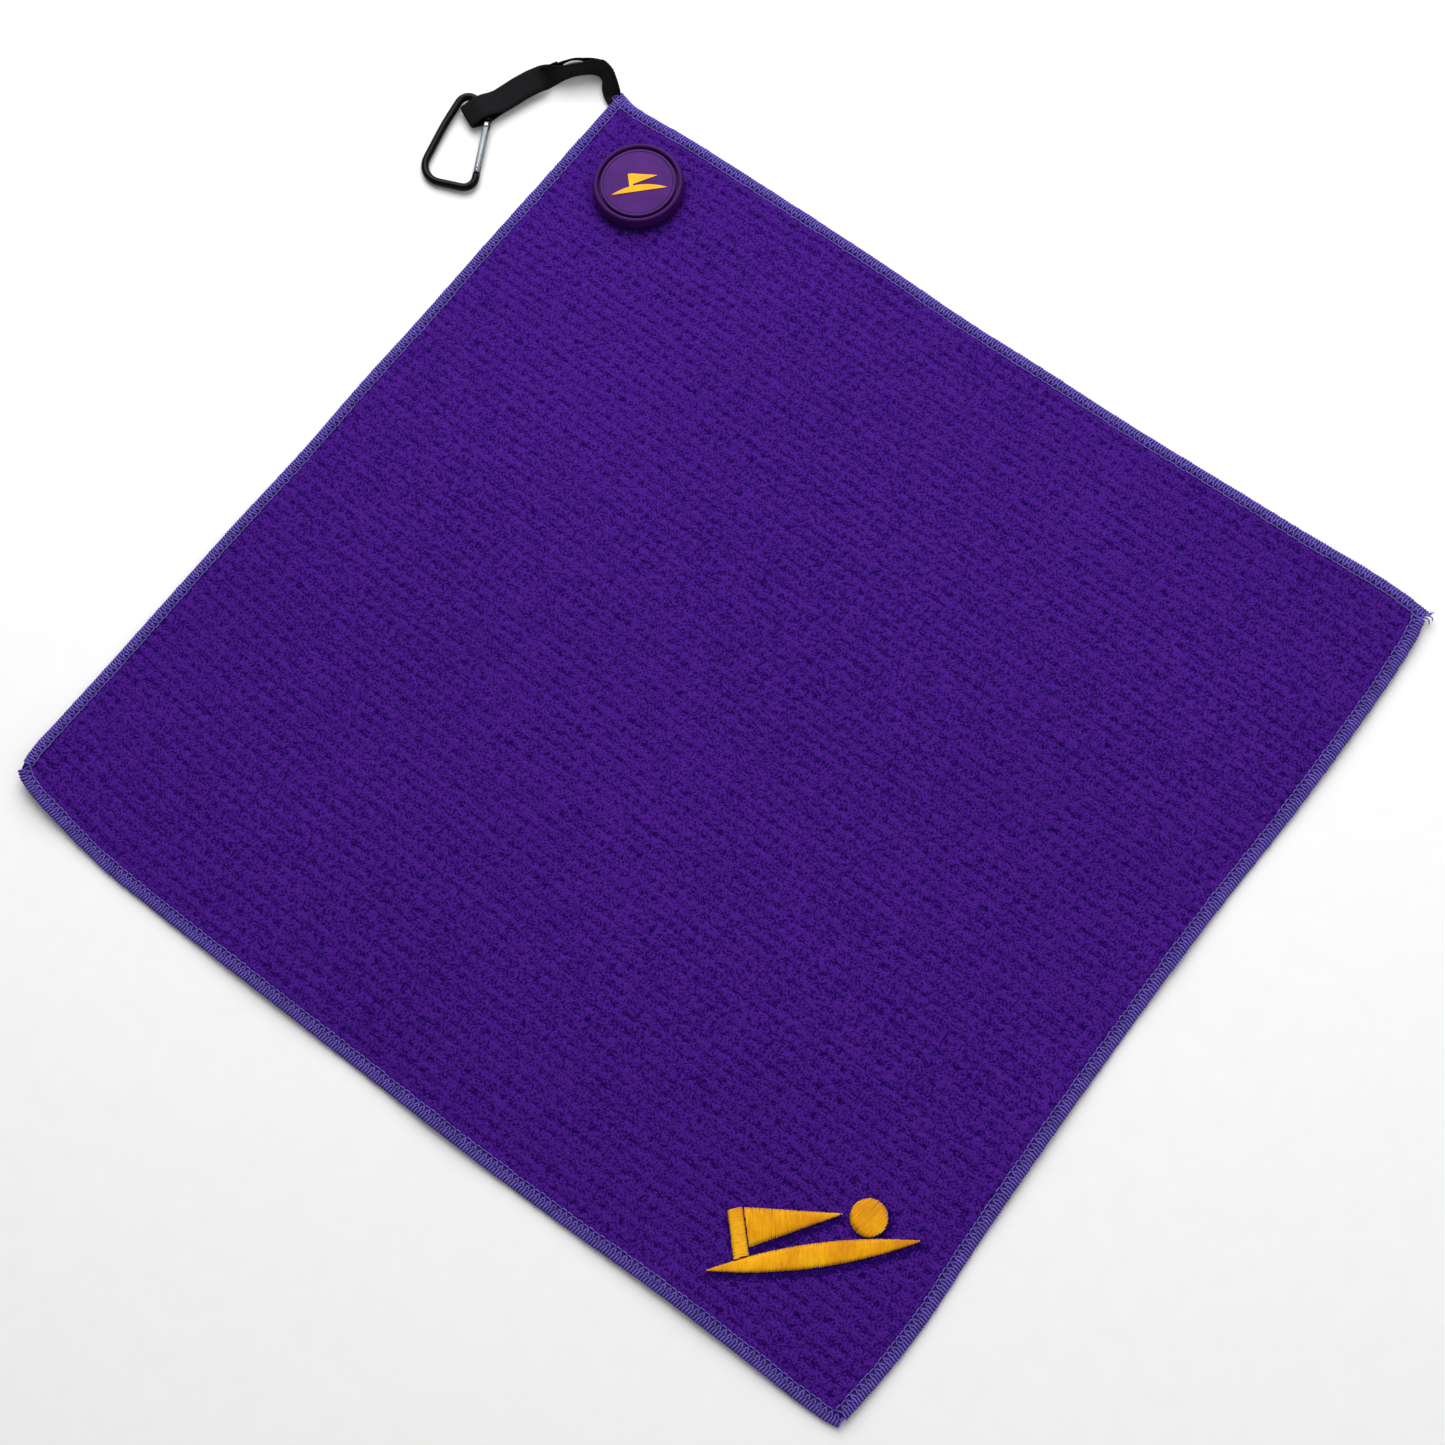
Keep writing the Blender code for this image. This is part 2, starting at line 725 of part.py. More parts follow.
def make_carabiner(black, silver, steel, spring_look, where, cutters):
    frame = bpy.data.objects.new("carabiner_frame", None)
    frame.matrix_world = bar_frame()
    place(frame, where)
    bar = Vector((math.cos(bar_angle), math.sin(bar_angle), 0))
    along = Vector((math.cos(gate_angle), math.sin(gate_angle), 0))
    inward = Vector((math.sin(gate_angle), -math.cos(gate_angle), 0))
    up = Vector((0, 0, 1))
    gate_corner = bar * bar_after
    pivot = gate_corner + along * pivot_offset
    nose_corner = gate_corner + along * gate_line_length
    rod_end = pivot - along * (gate_heel * 1.1 + 2.5 * contact_gap)
    nose_end = pivot + along * gate_length
    route = rounded_path(
        [
            (rod_end, 0),
            (gate_corner - along * 0.01 * mm, gate_corner_radius * 0.3),
            (-bar * bar_before, spine_corner_radius),
            (spine_middle, spine_bow_radius),
            (wide_corner, wide_corner_radius),
            (nose_corner, nose_corner_radius),
            (nose_end, 0),
        ]
    )
    body = as_mesh(tube("carabiner_body", route, rod_radius, black), where)
    shade_smooth(body, 50)
    gate_turn = Matrix((along, -inward, up)).transposed().to_4x4()
    at_pivot = Matrix.Translation(pivot) @ gate_turn
    half_tang, half_height = tang_thickness / 2, tang_height / 2
    pivot_tang = block(
        "pivot_tang",
        (-gate_heel - 4 * contact_gap, -half_height, -half_tang),
        (tang_reach, half_height, half_tang),
    )
    latch_at = gate_length - contact_gap - latch_inset
    nose_tang = block(
        "nose_tang",
        (latch_at - latch_radius - contact_gap - latch_tip, -half_height, -half_tang),
        (gate_length + rod_radius, half_height, half_tang),
    )
    notch_half = latch_radius + contact_gap
    notch = block(
        "latch_notch",
        (latch_at - notch_half, -2 * half_height, -2 * half_tang),
        (latch_at + notch_half, notch_half, 2 * half_tang),
    )
    pivot_hole = rod(
        "tang_hole", pivot_radius + contact_gap, (0, 0, -2 * gate_radius), (0, 0, 2 * gate_radius)
    )
    for helper in (pivot_tang, nose_tang, notch, pivot_hole):
        helper.data.transform(at_pivot)
        helper.parent = frame
    boolean(body, "UNION", pivot_tang, cutters)
    boolean(body, "UNION", nose_tang, cutters)
    boolean(body, "DIFFERENCE", notch, cutters)
    boolean(body, "DIFFERENCE", pivot_hole, cutters)
    place(body, where, frame)

    hinge = bpy.data.objects.new("gate_hinge", None)
    hinge.matrix_local = at_pivot
    place(hinge, where, frame)
    gate = rod("carabiner_gate", gate_radius, (-gate_heel, 0, 0), (gate_length - contact_gap, 0, 0), silver)
    shade_smooth(gate)
    slot = slot_width / 2
    tall = 2 * gate_radius
    heel_space = block(
        "heel_slot",
        (-2 * gate_heel, -tall, -slot),
        (math.hypot(tang_reach, half_height) + contact_gap, tall, slot),
    )
    latch_space = block(
        "latch_slot",
        (latch_at - latch_radius - 2 * contact_gap - latch_tip, -tall, -slot),
        (gate_length + tall, tall, slot),
    )
    spring_from = math.hypot(tang_reach, half_height) + 2 * contact_gap
    bore = rod(
        "spring_bore",
        spring_radius + spring_wire_radius + contact_gap,
        (0, 0, 0),
        (spring_from + spring_length + 2 * contact_gap, 0, 0),
    )
    holes = [
        rod("gate_pivot_hole", pivot_radius + contact_gap, (0, 0, -tall), (0, 0, tall)),
        rod("gate_latch_hole", latch_radius + contact_gap, (latch_at, 0, -tall), (latch_at, 0, tall)),
    ]
    for cutter in (heel_space, latch_space, bore, *holes):
        cutter.parent = hinge
        boolean(gate, "DIFFERENCE", cutter, cutters)
    place(gate, where, hinge)

    latch = rod(
        "gate_latch_pin", latch_radius, (latch_at, 0, -gate_radius), (latch_at, 0, gate_radius), steel, 16
    )
    place(latch, where, hinge)
    head_low = gate_radius + 0.1 * mm
    head_high = head_low + pivot_head_height
    rivet = turned(
        "gate_pivot_rivet",
        [
            (0, head_high), (pivot_head_radius * 0.6, head_high),
            (pivot_head_radius, head_low + pivot_head_height * 0.3),
            (pivot_head_radius, head_low), (pivot_radius, head_low),
            (pivot_radius, -head_low), (pivot_head_radius, -head_low),
            (pivot_head_radius, -head_low - pivot_head_height * 0.3),
            (pivot_head_radius * 0.6, -head_high), (0, -head_high),
        ],
        steel,
        steps=20,
    )
    place(rivet, where, hinge)
    per_turn = 8
    count = spring_turns * per_turn
    coil = [
        (
            spring_from + spring_length * i / count,
            spring_radius * math.cos(2 * math.pi * i / per_turn),
            spring_radius * math.sin(2 * math.pi * i / per_turn),
        )
        for i in range(count + 1)
    ]
    spring = as_mesh(tube("gate_spring", coil, spring_wire_radius, spring_look, 1), where)
    place(spring, where, hinge)


def main():
    clear_scene()
    parts = collection("golf_towel")
    cutters = collection("cutters")
    cloth = material("purple_microfibre", (0.045, 0.008, 0.17), 0.95)
    thread = material("lavender_thread", (0.13, 0.06, 0.36), 0.8)
    gold = material("gold_thread", (0.9, 0.48, 0.01), 0.5)
    backing = material("white_backing", (0.75, 0.75, 0.75), 0.95)
    webbing = material("black_webbing", (0.008, 0.008, 0.01), 0.85)
    rubber = material("purple_rubber", (0.07, 0.015, 0.16), 0.55)
    plastic = material("black_plastic", (0.02, 0.02, 0.02), 0.5)
    enamel = material("purple_enamel", (0.09, 0.025, 0.2), 0.25)
    gold_enamel = material("gold_enamel", (0.9, 0.48, 0.01), 0.3)
    marker_steel = material("marker_steel", (0.55, 0.55, 0.56), 0.35, 1.0)
    magnet = material("nickel_plate", (0.62, 0.6, 0.57), 0.25, 1.0)
    rivet_steel = material("rivet_steel", (0.66, 0.66, 0.67), 0.3, 1.0)
    black_metal = material("black_anodised", (0.012, 0.012, 0.014), 0.25, 0.6)
    silver = material("satin_aluminium", (0.5, 0.53, 0.58), 0.4, 1.0)
    spring = material("spring_steel", (0.5, 0.5, 0.52), 0.35, 1.0)

    make_cloth(cloth, parts, cutters)
    make_seams(thread, parts, cutters)
    place(make_tab(webbing), parts)
    make_marker_holder(rubber, rivet_steel, magnet, plastic, parts)
    make_marker(marker_steel, enamel, gold_enamel, parts)
    make_emblem(gold, backing, parts)
    make_loop(webbing, parts, cutters)
    make_carabiner(black_metal, silver, rivet_steel, spring, parts, cutters)
    bpy.context.view_layer.update()


main()
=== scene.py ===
"""Golf towel: waffle cloth with overlocked edges, a webbing hanging loop, a small
carabiner, a magnetic ball marker in its holder, and an embroidered emblem."""

import math

import bmesh
import bpy
import numpy as np
from bpy.props import FloatProperty, FloatVectorProperty, IntProperty, PointerProperty
from mathutils import Matrix, Vector


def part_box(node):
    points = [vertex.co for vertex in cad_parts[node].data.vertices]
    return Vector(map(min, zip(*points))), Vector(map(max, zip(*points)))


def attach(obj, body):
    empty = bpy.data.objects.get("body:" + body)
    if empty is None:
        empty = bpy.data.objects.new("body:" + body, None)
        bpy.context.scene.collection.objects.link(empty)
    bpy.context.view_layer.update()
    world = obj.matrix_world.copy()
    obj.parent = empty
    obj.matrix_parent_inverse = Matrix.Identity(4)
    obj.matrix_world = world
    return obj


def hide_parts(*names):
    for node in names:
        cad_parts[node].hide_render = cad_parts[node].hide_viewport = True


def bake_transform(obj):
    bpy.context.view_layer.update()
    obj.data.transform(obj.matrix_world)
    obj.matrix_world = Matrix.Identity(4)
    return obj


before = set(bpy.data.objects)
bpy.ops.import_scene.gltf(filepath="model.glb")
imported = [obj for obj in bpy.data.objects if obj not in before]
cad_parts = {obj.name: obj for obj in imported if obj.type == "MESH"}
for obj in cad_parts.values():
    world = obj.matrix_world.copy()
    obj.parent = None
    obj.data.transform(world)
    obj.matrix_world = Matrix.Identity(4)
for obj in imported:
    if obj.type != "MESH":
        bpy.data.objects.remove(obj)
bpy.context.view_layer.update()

bl_info = {
    "name": "Golf towel",
    "version": (1, 0, 0),
    "blender": (4, 5, 0),
    "location": "3D View > Sidebar > Towel",
    "description": "Builds a golf towel with its loop, carabiner, ball marker and emblem",
    "category": "Object",
}

mm = 0.001
UP = Vector((0, 0, 1))
diagonal = math.sqrt(0.5)

# ---- places taken from the frame ------------------------------------------------------
marker_low, marker_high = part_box("marker_disc")
marker_place = (marker_low + marker_high) / 2
emblem_low, emblem_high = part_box("emblem_backing")
emblem_place = (emblem_low + emblem_high) / 2
_, top_seam_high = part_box("seam_top_edge")
half_length = top_seam_high.x
half_width = top_seam_high.y
half_x, half_y = half_length / mm, half_width / mm
marker_at = marker_place.x / mm, marker_place.y / mm
emblem_at = emblem_place.x / mm, emblem_place.y / mm

# ---- how the cloth lies: how far each edge stands out, along the edge, in millimetres --
top_wave = (
    (-205, 0), (-201, -1.3), (-196, -2.3), (-186, -2.3), (-170, -1.4), (-140, -1.0),
    (-60, -1.8), (0, -2.6), (70, -2.0), (140, -0.8), (196, 0), (205, -1.2),
)
bottom_wave = (
    (-205, -1.4), (-202, 0.5), (-196, 2.4), (-183, 4.5), (-157, 7.4), (-120, 8.0),
    (-85, 7.6), (-20, 6.8), (43, 6.0), (85, 4.4), (120, 2.6), (165, 1.6), (192, 1.3),
    (201, 0.6), (205, -0.4),
)
left_wave = (
    (-195, -1.8), (-192, 0.0), (-186, 1.5), (-170, 2.6), (-130, 2.7), (-60, 1.6),
    (0, 0.9), (80, 0.6), (150, 0.2), (195, 0),
)
right_wave = (
    (-195, -0.4), (-191, 0.5), (-183, 1.4), (-175, 2.2), (-150, 3.4), (-115, 2.0),
    (-50, 0.7), (0, 0.6), (45, 1.3), (95, 3.3), (135, 3.7), (168, 3.0), (186, 1.4),
    (195, -0.8),
)

cloth_inset = 1.2  # of the cloth's rim inside the stitching
pressed_height = 2.25  # of the cloth under the holder and the emblem
hem_height = 1.75  # of the cloth squeezed by the stitching
underside = 0.25
corner_lift, far_corner_lift = 3.4, 2.0
stitching_height = 1.32
bed_trim = 0.7  # of a bed of thread at each of its ends

# ---- the hanging loop, from its sewn end to its fold ----------------------------------
loop_route = [
    Vector(place) * mm
    for place in (
        (-205.6, 189.9, 1.3), (-209.0, 192.4, 3.0), (-212.6, 195.0, 4.8), (-216.6, 196.2, 5.7),
        (-220.4, 194.8, 5.8), (-223.8, 191.7, 5.8), (-227.4, 187.9, 5.7), (-231.1, 183.1, 5.5),
        (-236.4, 177.2, 4.8), (-240.2, 170.0, 4.0),
    )
]
bar_place = Vector((-247.7, 151.2, 3.5)) * mm
loop_onward = Vector((-0.40833, -0.91283, 0.0))
eye_lead = 9.45 * mm
eye_reach = 9 * mm  # the runs swell round the rod this far before and after it
fold_length = 8 * mm
fold_depth = 1.4 * mm  # of the rounded end, beyond the two runs
webbing_width = 11 * mm
webbing_thickness = 1.2 * mm
rib_height = 0.20 * mm
bar_clearance = 2.8 * mm
table_gap = 0.12 * mm  # under the webbing's lowest threads
sewn_depths = (1.1, 2.2, 3.2, 4.2)  # of the loop's ends inside the seam, in millimetres
# share of the way to the fold, then the tilt in degrees of the upper and the lower run
loop_tilt = (
    (0, 4, 4), (0.04, 32, 34), (0.08, 50, 54), (0.12, 66, 72), (0.16, 80, 90),
    (0.20, 90, 106), (0.27, 98, 120), (0.33, 99, 124), (0.38, 95, 122), (0.43, 84, 106),
    (0.46, 68, 82), (0.49, 45, 51), (0.52, 23, 26), (0.55, 10, 11), (0.60, 4, 4),
    (0.70, 1, 1), (1, 0, 0),
)
# share of the way, then how far the lower run stands outwards and below, in millimetres
loop_splay = (
    (0, 0.1, 1.25), (0.05, 0.5, 1.0), (0.10, 0.9, 0.6), (0.15, 1.5, 0.4), (0.20, 2.6, 0.2),
    (0.27, 4.5, 0.2), (0.33, 5.7, 0.2), (0.38, 5.2, 0.2), (0.43, 3.2, 0.4), (0.46, 1.6, 0.7),
    (0.50, 0.5, 1.2), (0.55, 0.2, 1.5), (0.66, 0.3, 1.6), (0.78, 0.3, 1.6), (1, 0, 1.5),
)
# share of the way, then the share of its width that the webbing shows; its root is gathered
loop_gather = (
    (0, 0.62), (0.04, 0.74), (0.08, 0.88), (0.12, 1.0), (0.40, 1.0), (0.49, 0.92),
    (0.58, 1.0), (1, 1.0),
)

# ---- the carabiner and the marker's holder --------------------------------------------
gate_heading = Vector((0.4743, -0.8799, -0.0270))
seat_gap = 0.3 * mm  # under the marker, and the rim's height over it
coin_radius = 16.2 * mm
enamel_radius = 14.9 * mm
recess_radius = 15.0 * mm
recess_depth = 0.6 * mm
magnet_bore = 10.3  # the holder's radii, in millimetres
rivet_bore = 4.1
well = 17.15
rim_middle = 18.15
rim_radius = 1.0
magnet_pocket = 2.3

# ---- the emblem, in millimetres along and across it -----------------------------------
ground_half = 40.0
ground_rise = 4.25
emblem_foot, emblem_top = -12.5, 12.5
block_gap = 0.6
pole_sides = -29.25, -23.75
pennant_length, pennant_depth = 36, 14.5
ball_along, ball_radius = 22, 7
stitch_crown = 0.42 * mm
stitch_radius = 0.26 * mm

# ---- the stage ------------------------------------------------------------------------
table_reach = 4.0
sky_strength = 0.36
# name, place, what it points at, size and power
lights = (
    ("key_softbox", (-0.60, 0.80, 1.05), (0, 0.05, 0), 1.5, 24.5),
    ("fill_softbox", (0.9, 0.5, 1.4), (0, 0, 0), 1.2, 4.5),
)
camera_lens = 57.55
camera_place = Vector((0.22388, -0.20392, 0.86891))
camera_view = Vector((-0.235765, 0.213751, -0.948011))
camera_up = Vector((-0.566223, 0.762608, 0.312764))


# ---- settings -------------------------------------------------------------------------
def length(name, description, default):
    return FloatProperty(
        name=name, description=description, default=default, min=0, unit="LENGTH", precision=5
    )


def colour(name, description, default):
    return FloatVectorProperty(
        name=name, description=description, default=default, size=3, min=0, max=1, subtype="COLOR"
    )


class TowelSizes(bpy.types.PropertyGroup):
    cell_length: length("Cell length", "Waffle cell along the longer edges", 5.04 * mm)
    cell_width: length("Cell width", "Waffle cell along the shorter edges", 5.10 * mm)
    pile_height: length("Pile height", "Height of the waffle's ridges over its pits", 1.15 * mm)
    cloth_top: length("Cloth top", "Height of the ridges over the table", 2.65 * mm)
    stitch_pitch: length("Stitch pitch", "Distance between overlock stitches", 2.5 * mm)
    seam_width: length("Edge width", "Width of the overlocked edge", 5.4 * mm)
    thread_spacing: length("Thread spacing", "Distance between the emblem's threads", 0.4 * mm)
    rib_pitch: length("Rib pitch", "Distance between the webbing's ribs", 1.05 * mm)
    seed: IntProperty(name="Seed", description="Start of the random variation", default=7, min=0)


class TowelColours(bpy.types.PropertyGroup):
    cloth: colour("Cloth", "Waffle cloth", (0.0268, 0.0031, 0.130))
    edging: colour("Edging", "Overlock thread", (0.140, 0.088, 0.47))
    gold: colour("Gold", "Emblem thread and marker motif", (0.88, 0.40, 0.001))
    webbing: colour("Webbing", "Hanging loop", (0.0035, 0.0035, 0.0045))
    holder: colour("Holder", "Marker holder", (0.042, 0.0035, 0.088))
    enamel: colour("Enamel", "Marker face", (0.068, 0.0150, 0.150))


class TowelSettings(bpy.types.PropertyGroup):
    sizes: PointerProperty(name="Sizes", description="Sizes of the towel's detail", type=TowelSizes)
    colours: PointerProperty(name="Colours", description="Colours of the towel", type=TowelColours)


# ---- nodes ----------------------------------------------------------------------------
def node(tree, kind, inputs=None, **settings):
    """Adds a node; an input takes a number, a colour, or the socket that feeds it."""
    made = tree.nodes.new(kind)
    for name, value in settings.items():
        setattr(made, name, value)
    for name, value in (inputs or {}).items():
        if isinstance(value, bpy.types.Node):
            value = value.outputs[0]
        if isinstance(value, bpy.types.NodeSocket):
            tree.links.new(value, made.inputs[name])
        else:
            made.inputs[name].default_value = value
    return made


def maths(tree, operation, *values):
    return node(tree, "ShaderNodeMath", dict(enumerate(values)), operation=operation)


def ramp(tree, value, stops):
    """A colour ramp through (place, colour) stops."""
    made = node(tree, "ShaderNodeValToRGB", {"Fac": value})
    elements = made.color_ramp.elements
    while len(elements) < len(stops):
        elements.new(0.5)
    for element, (place, tint) in zip(elements, stops):
        element.position = place
        element.color = (*tint, 1.0)
    return made


def noise(tree, where, scale, detail, roughness):
    return node(
        tree,
        "ShaderNodeTexNoise",
        {"Vector": where, "Scale": scale, "Detail": detail, "Roughness": roughness},
    )


def bump(tree, height, distance, strength, under=None):
    inputs = {"Height": height, "Distance": distance, "Strength": strength}
    if under:
        inputs["Normal"] = under
    return node(tree, "ShaderNodeBump", inputs)


def object_place(tree):
    return node(tree, "ShaderNodeTexCoord").outputs["Object"]


def turned_place(tree, centre, turn, stretch):
    """Object coordinates about a centre, turned and stretched to follow a piece."""
    return node(
        tree,
        "ShaderNodeMapping",
        {"Vector": object_place(tree), "Location": centre, "Rotation": turn, "Scale": stretch},
        vector_type="TEXTURE",
    ).outputs["Vector"]


def scaled(tint, factor):
    return tuple(min(1.0, c * factor) for c in tint)


def new_material(name, tint, **fixed):
    """A material with its shader's fixed values set, with its tree and its shader."""
    made = bpy.data.materials.new(name)
    made.use_nodes = True
    made.diffuse_color = (*tint, 1.0)
    shader = made.node_tree.nodes["Principled BSDF"]
    shader.inputs["Base Color"].default_value = (*tint, 1.0)
    for key, value in fixed.items():
        shader.inputs[key.replace("_", " ")].default_value = value
    return made, made.node_tree, shader


def feed(tree, shader, **sockets):
    for key, value in sockets.items():
        if isinstance(value, bpy.types.Node):
            value = value.outputs[0]
        tree.links.new(value, shader.inputs[key.replace("_", " ")])


def finish(tree, shader, tone, grain, shine, relief, ends=(0.2, 0.8)):
    """Feeds a shader its tone, its roughness over a grain, and its relief."""
    rough = ramp(tree, grain, [(end, (value,) * 3) for end, value in zip(ends, shine)])
    feed(tree, shader, Base_Color=tone, Roughness=rough, Normal=relief)


# ---- materials ------------------------------------------------------------------------
def cloth_material(tint):
    made, tree, shader = new_material(
        "waffle_microfibre",
        tint,
        Sheen_Weight=0.03,
        Sheen_Roughness=0.5,
        Sheen_Tint=(0.35, 0.18, 1.0, 1.0),
        Specular_IOR_Level=0.05,
    )
    where = object_place(tree)
    # The pile's level carries painted shade: darker pits, and a painted shadow round the emblem.
    pile_and_painted_shade = node(tree, "ShaderNodeAttribute", attribute_name="pile_and_painted_shade").outputs["Fac"]
    fibre = noise(tree, where, 1180, 2, 0.75)
    tuft = noise(tree, where, 620, 2, 0.6)
    broad = noise(tree, where, 7, 2, 0.5)
    speckle_and_painted_glint = maths(tree, "MULTIPLY_ADD", fibre, 4.6, -2.3)
    mottle = maths(tree, "MULTIPLY_ADD", tuft, 1.2, -0.6)
    level = maths(tree, "ADD", maths(tree, "ADD", pile_and_painted_shade, speckle_and_painted_glint), mottle)
    red, green, blue = tint
    # Painted shade and highlight: the darkest stop paints shade in the pits, and the brightest,
    # paler stop paints glints of light on the fibre tips.
    stops = [
        (0.05, (red * 0.33, green * 0.03, blue * 0.50)),
        (0.55, (red * 0.78, green * 0.36, blue * 0.87)),
        (1.0, (red * 2.5, green * 3.6, blue * 1.82)),
    ]
    tone = ramp(tree, level, stops)
    drift = ramp(tree, broad, [(0.3, (0.90, 0.90, 0.92)), (0.7, (1.0, 1.0, 1.0))])
    inputs = {"Factor": 1.0, 6: tone, 7: drift}
    mixed = node(tree, "ShaderNodeMix", inputs, data_type="RGBA", blend_type="MULTIPLY")
    relief = bump(tree, fibre, 0.32 * mm, 1.0, bump(tree, tuft, 0.4 * mm, 0.6))
    finish(tree, shader, mixed.outputs[2], fibre, (0.8, 0.98), relief)
    return made


def thread_material(name, tint, dark, shine, sheen):
    """Thread with a twist, a little lighter and darker from stitch to stitch."""
    made, tree, shader = new_material(
        name,
        tint,
        Sheen_Weight=sheen,
        Sheen_Roughness=0.4,
        Sheen_Tint=(*scaled(tint, 2.5), 1.0),
        Specular_IOR_Level=0.15,
    )
    where = object_place(tree)
    patch = maths(tree, "MULTIPLY", noise(tree, where, 330, 2, 0.6), 0.6)
    strand = noise(tree, where, 2600, 2, 0.5)
    level = maths(tree, "ADD", patch, maths(tree, "MULTIPLY", strand, 0.4))
    stops = [(0.3, scaled(tint, dark)), (0.5, tint), (0.72, scaled(tint, 1.35))]
    relief = bump(tree, strand, 0.12 * mm, 0.7)
    finish(tree, shader, ramp(tree, level, stops), strand, (shine, shine + 0.2), relief)
    return made


def gold_thread_material(name, tint, turn):
    """Satin thread: bands of tone across the stitches, fine strands along them."""
    made, tree, shader = new_material(
        name,
        tint,
        Sheen_Weight=0.03,
        Sheen_Tint=(1.0, 0.8, 0.3, 1.0),
        Specular_IOR_Level=0.18,
    )
    along = turned_place(tree, emblem_place, (0, 0, turn), (14, 1, 1))
    strand = noise(tree, along, 2400, 2, 0.6)
    patch = maths(tree, "MULTIPLY", noise(tree, object_place(tree), 75, 3, 0.6), 0.65)
    level = maths(tree, "ADD", patch, maths(tree, "MULTIPLY", strand, 0.35))
    red, green, blue = tint
    stops = [
        (0.30, (red * 0.66, green * 0.50, blue)),
        (0.5, (red * 0.95, green * 0.93, blue)),
        (0.68, (min(1, red * 1.12), green * 1.40, blue + 0.006)),
    ]
    relief = bump(tree, strand, 0.08 * mm, 0.6)
    finish(tree, shader, ramp(tree, level, stops), strand, (0.34, 0.55), relief)
    return made


def webbing_material(tint):
    """Ribs across the webbing, with the warp threads that cross them."""
    made, tree, shader = new_material(
        "black_webbing",
        tint,
        Sheen_Weight=0.02,
        Sheen_Roughness=0.35,
        Sheen_Tint=(0.75, 0.8, 1.0, 1.0),
        Specular_IOR_Level=0.08,
    )
    weave = node(tree, "ShaderNodeUVMap", uv_map="weave").outputs["UV"]
    across = node(
        tree,
        "ShaderNodeTexWave",
        {"Vector": weave, "Scale": 260.0, "Distortion": 0.6, "Detail": 1.0, "Detail Scale": 3.0},
        bands_direction="Y",
    )
    fibre = noise(tree, weave, 2300, 3, 0.6)
    height = maths(tree, "ADD", maths(tree, "MULTIPLY", across.outputs["Fac"], 0.6), fibre)
    tone = ramp(tree, fibre, [(0.3, scaled(tint, 0.45)), (0.75, scaled(tint, 2.4))])
    finish(tree, shader, tone, fibre, (0.5, 0.75), bump(tree, height, 0.2 * mm, 0.9))
    return made


def coated_material(name, tint, low, high, shine=0.3, grain=900, depth=0.02):
    """Paint or moulded plastic: faint mottling, a fine grain and a change of shine."""
    made, tree, shader = new_material(name, tint, Specular_IOR_Level=shine)
    where = object_place(tree)
    fine = noise(tree, where, grain, 3, 0.6)
    stops = [(0.3, scaled(tint, 0.88)), (0.7, scaled(tint, 1.14))]
    tone = ramp(tree, noise(tree, where, 160, 2, 0.5), stops)
    relief = bump(tree, fine, depth * mm, 0.6)
    finish(tree, shader, tone, fine, (low, high), relief, (0.25, 0.75))
    return made


def metal_material(name, tint, low, high, turn=(0, 0, 0), stretch=(1, 1, 1)):
    """Metal with fine lines along the piece."""
    made, tree, shader = new_material(name, tint, Metallic=1.0)
    line = noise(tree, turned_place(tree, (0, 0, 0), turn, stretch), 2200, 3, 0.6)
    stops = [(0.3, scaled(tint, 0.85)), (0.7, scaled(tint, 1.08))]
    tone = ramp(tree, noise(tree, object_place(tree), 240, 2, 0.5), stops)
    relief = bump(tree, line, 0.02 * mm, 0.5)
    finish(tree, shader, tone, line, (low, high), relief, (0.25, 0.75))
    return made


# ---- mesh helpers ---------------------------------------------------------------------
def eased(table, at, column=1):
    """Reads a table of (place, value, ...) rows smoothly."""
    rows = np.array(table, float)
    places, values = rows[:, 0], rows[:, column]
    slopes = np.gradient(values, places)
    at = np.asarray(at, float)
    i = np.clip(np.searchsorted(places, at) - 1, 0, len(places) - 2)
    gap = places[i + 1] - places[i]
    t = np.clip((at - places[i]) / gap, 0, 1)
    return (
        (2 * t**3 - 3 * t**2 + 1) * values[i]
        + (t**3 - 2 * t**2 + t) * gap * slopes[i]
        + (3 * t**2 - 2 * t**3) * values[i + 1]
        + (t**3 - t**2) * gap * slopes[i + 1]
    )


def bell(distance, reach):
    return np.exp(-((distance / reach) ** 2))


def away(x, y, place, start, reach):
    """From 0 at a distance from a place to 1 a reach beyond it, in millimetres."""
    return np.clip((np.hypot(x - place[0], y - place[1]) - start) / reach, 0, 1)


def circle(count):
    """The cosine and sine of evenly spaced angles."""
    turns = [2 * math.pi * i / count for i in range(count)]
    return [(math.cos(a), math.sin(a)) for a in turns]


def linked(name, data):
    """A new object of that data, in the scene."""
    made = bpy.data.objects.new(name, data)
    bpy.context.scene.collection.objects.link(made)
    return made


def add_object(name, mesh, *materials):
    for look in materials:
        mesh.materials.append(look)
    return linked(name, mesh)


def mesh_from(name, points, faces):
    """A closed, smooth shaded mesh with its faces turned outwards."""
    mesh = bpy.data.meshes.new(name)
    mesh.from_pydata([tuple(p) for p in points], [], faces)
    bm = bmesh.new()
    bm.from_mesh(mesh)
    bmesh.ops.recalc_face_normals(bm, faces=bm.faces)
    if bm.calc_volume(signed=True) < 0:
        bmesh.ops.reverse_faces(bm, faces=bm.faces)
    bm.to_mesh(mesh)
    bm.free()
    mesh.validate()
    mesh.shade_smooth()
    return mesh


def sweep_faces(rings, sides, base=0):
    """Faces of a tube of that many rings and sides, its ends closed."""
    faces = []
    for i in range(rings - 1):
        low, high = base + i * sides, base + (i + 1) * sides
        for j in range(sides):
            k = (j + 1) % sides
            faces.append((low + j, low + k, high + k, high + j))
    faces.append(tuple(range(base + sides - 1, base - 1, -1)))
    faces.append(tuple(range(base + (rings - 1) * sides, base + rings * sides)))
    return faces


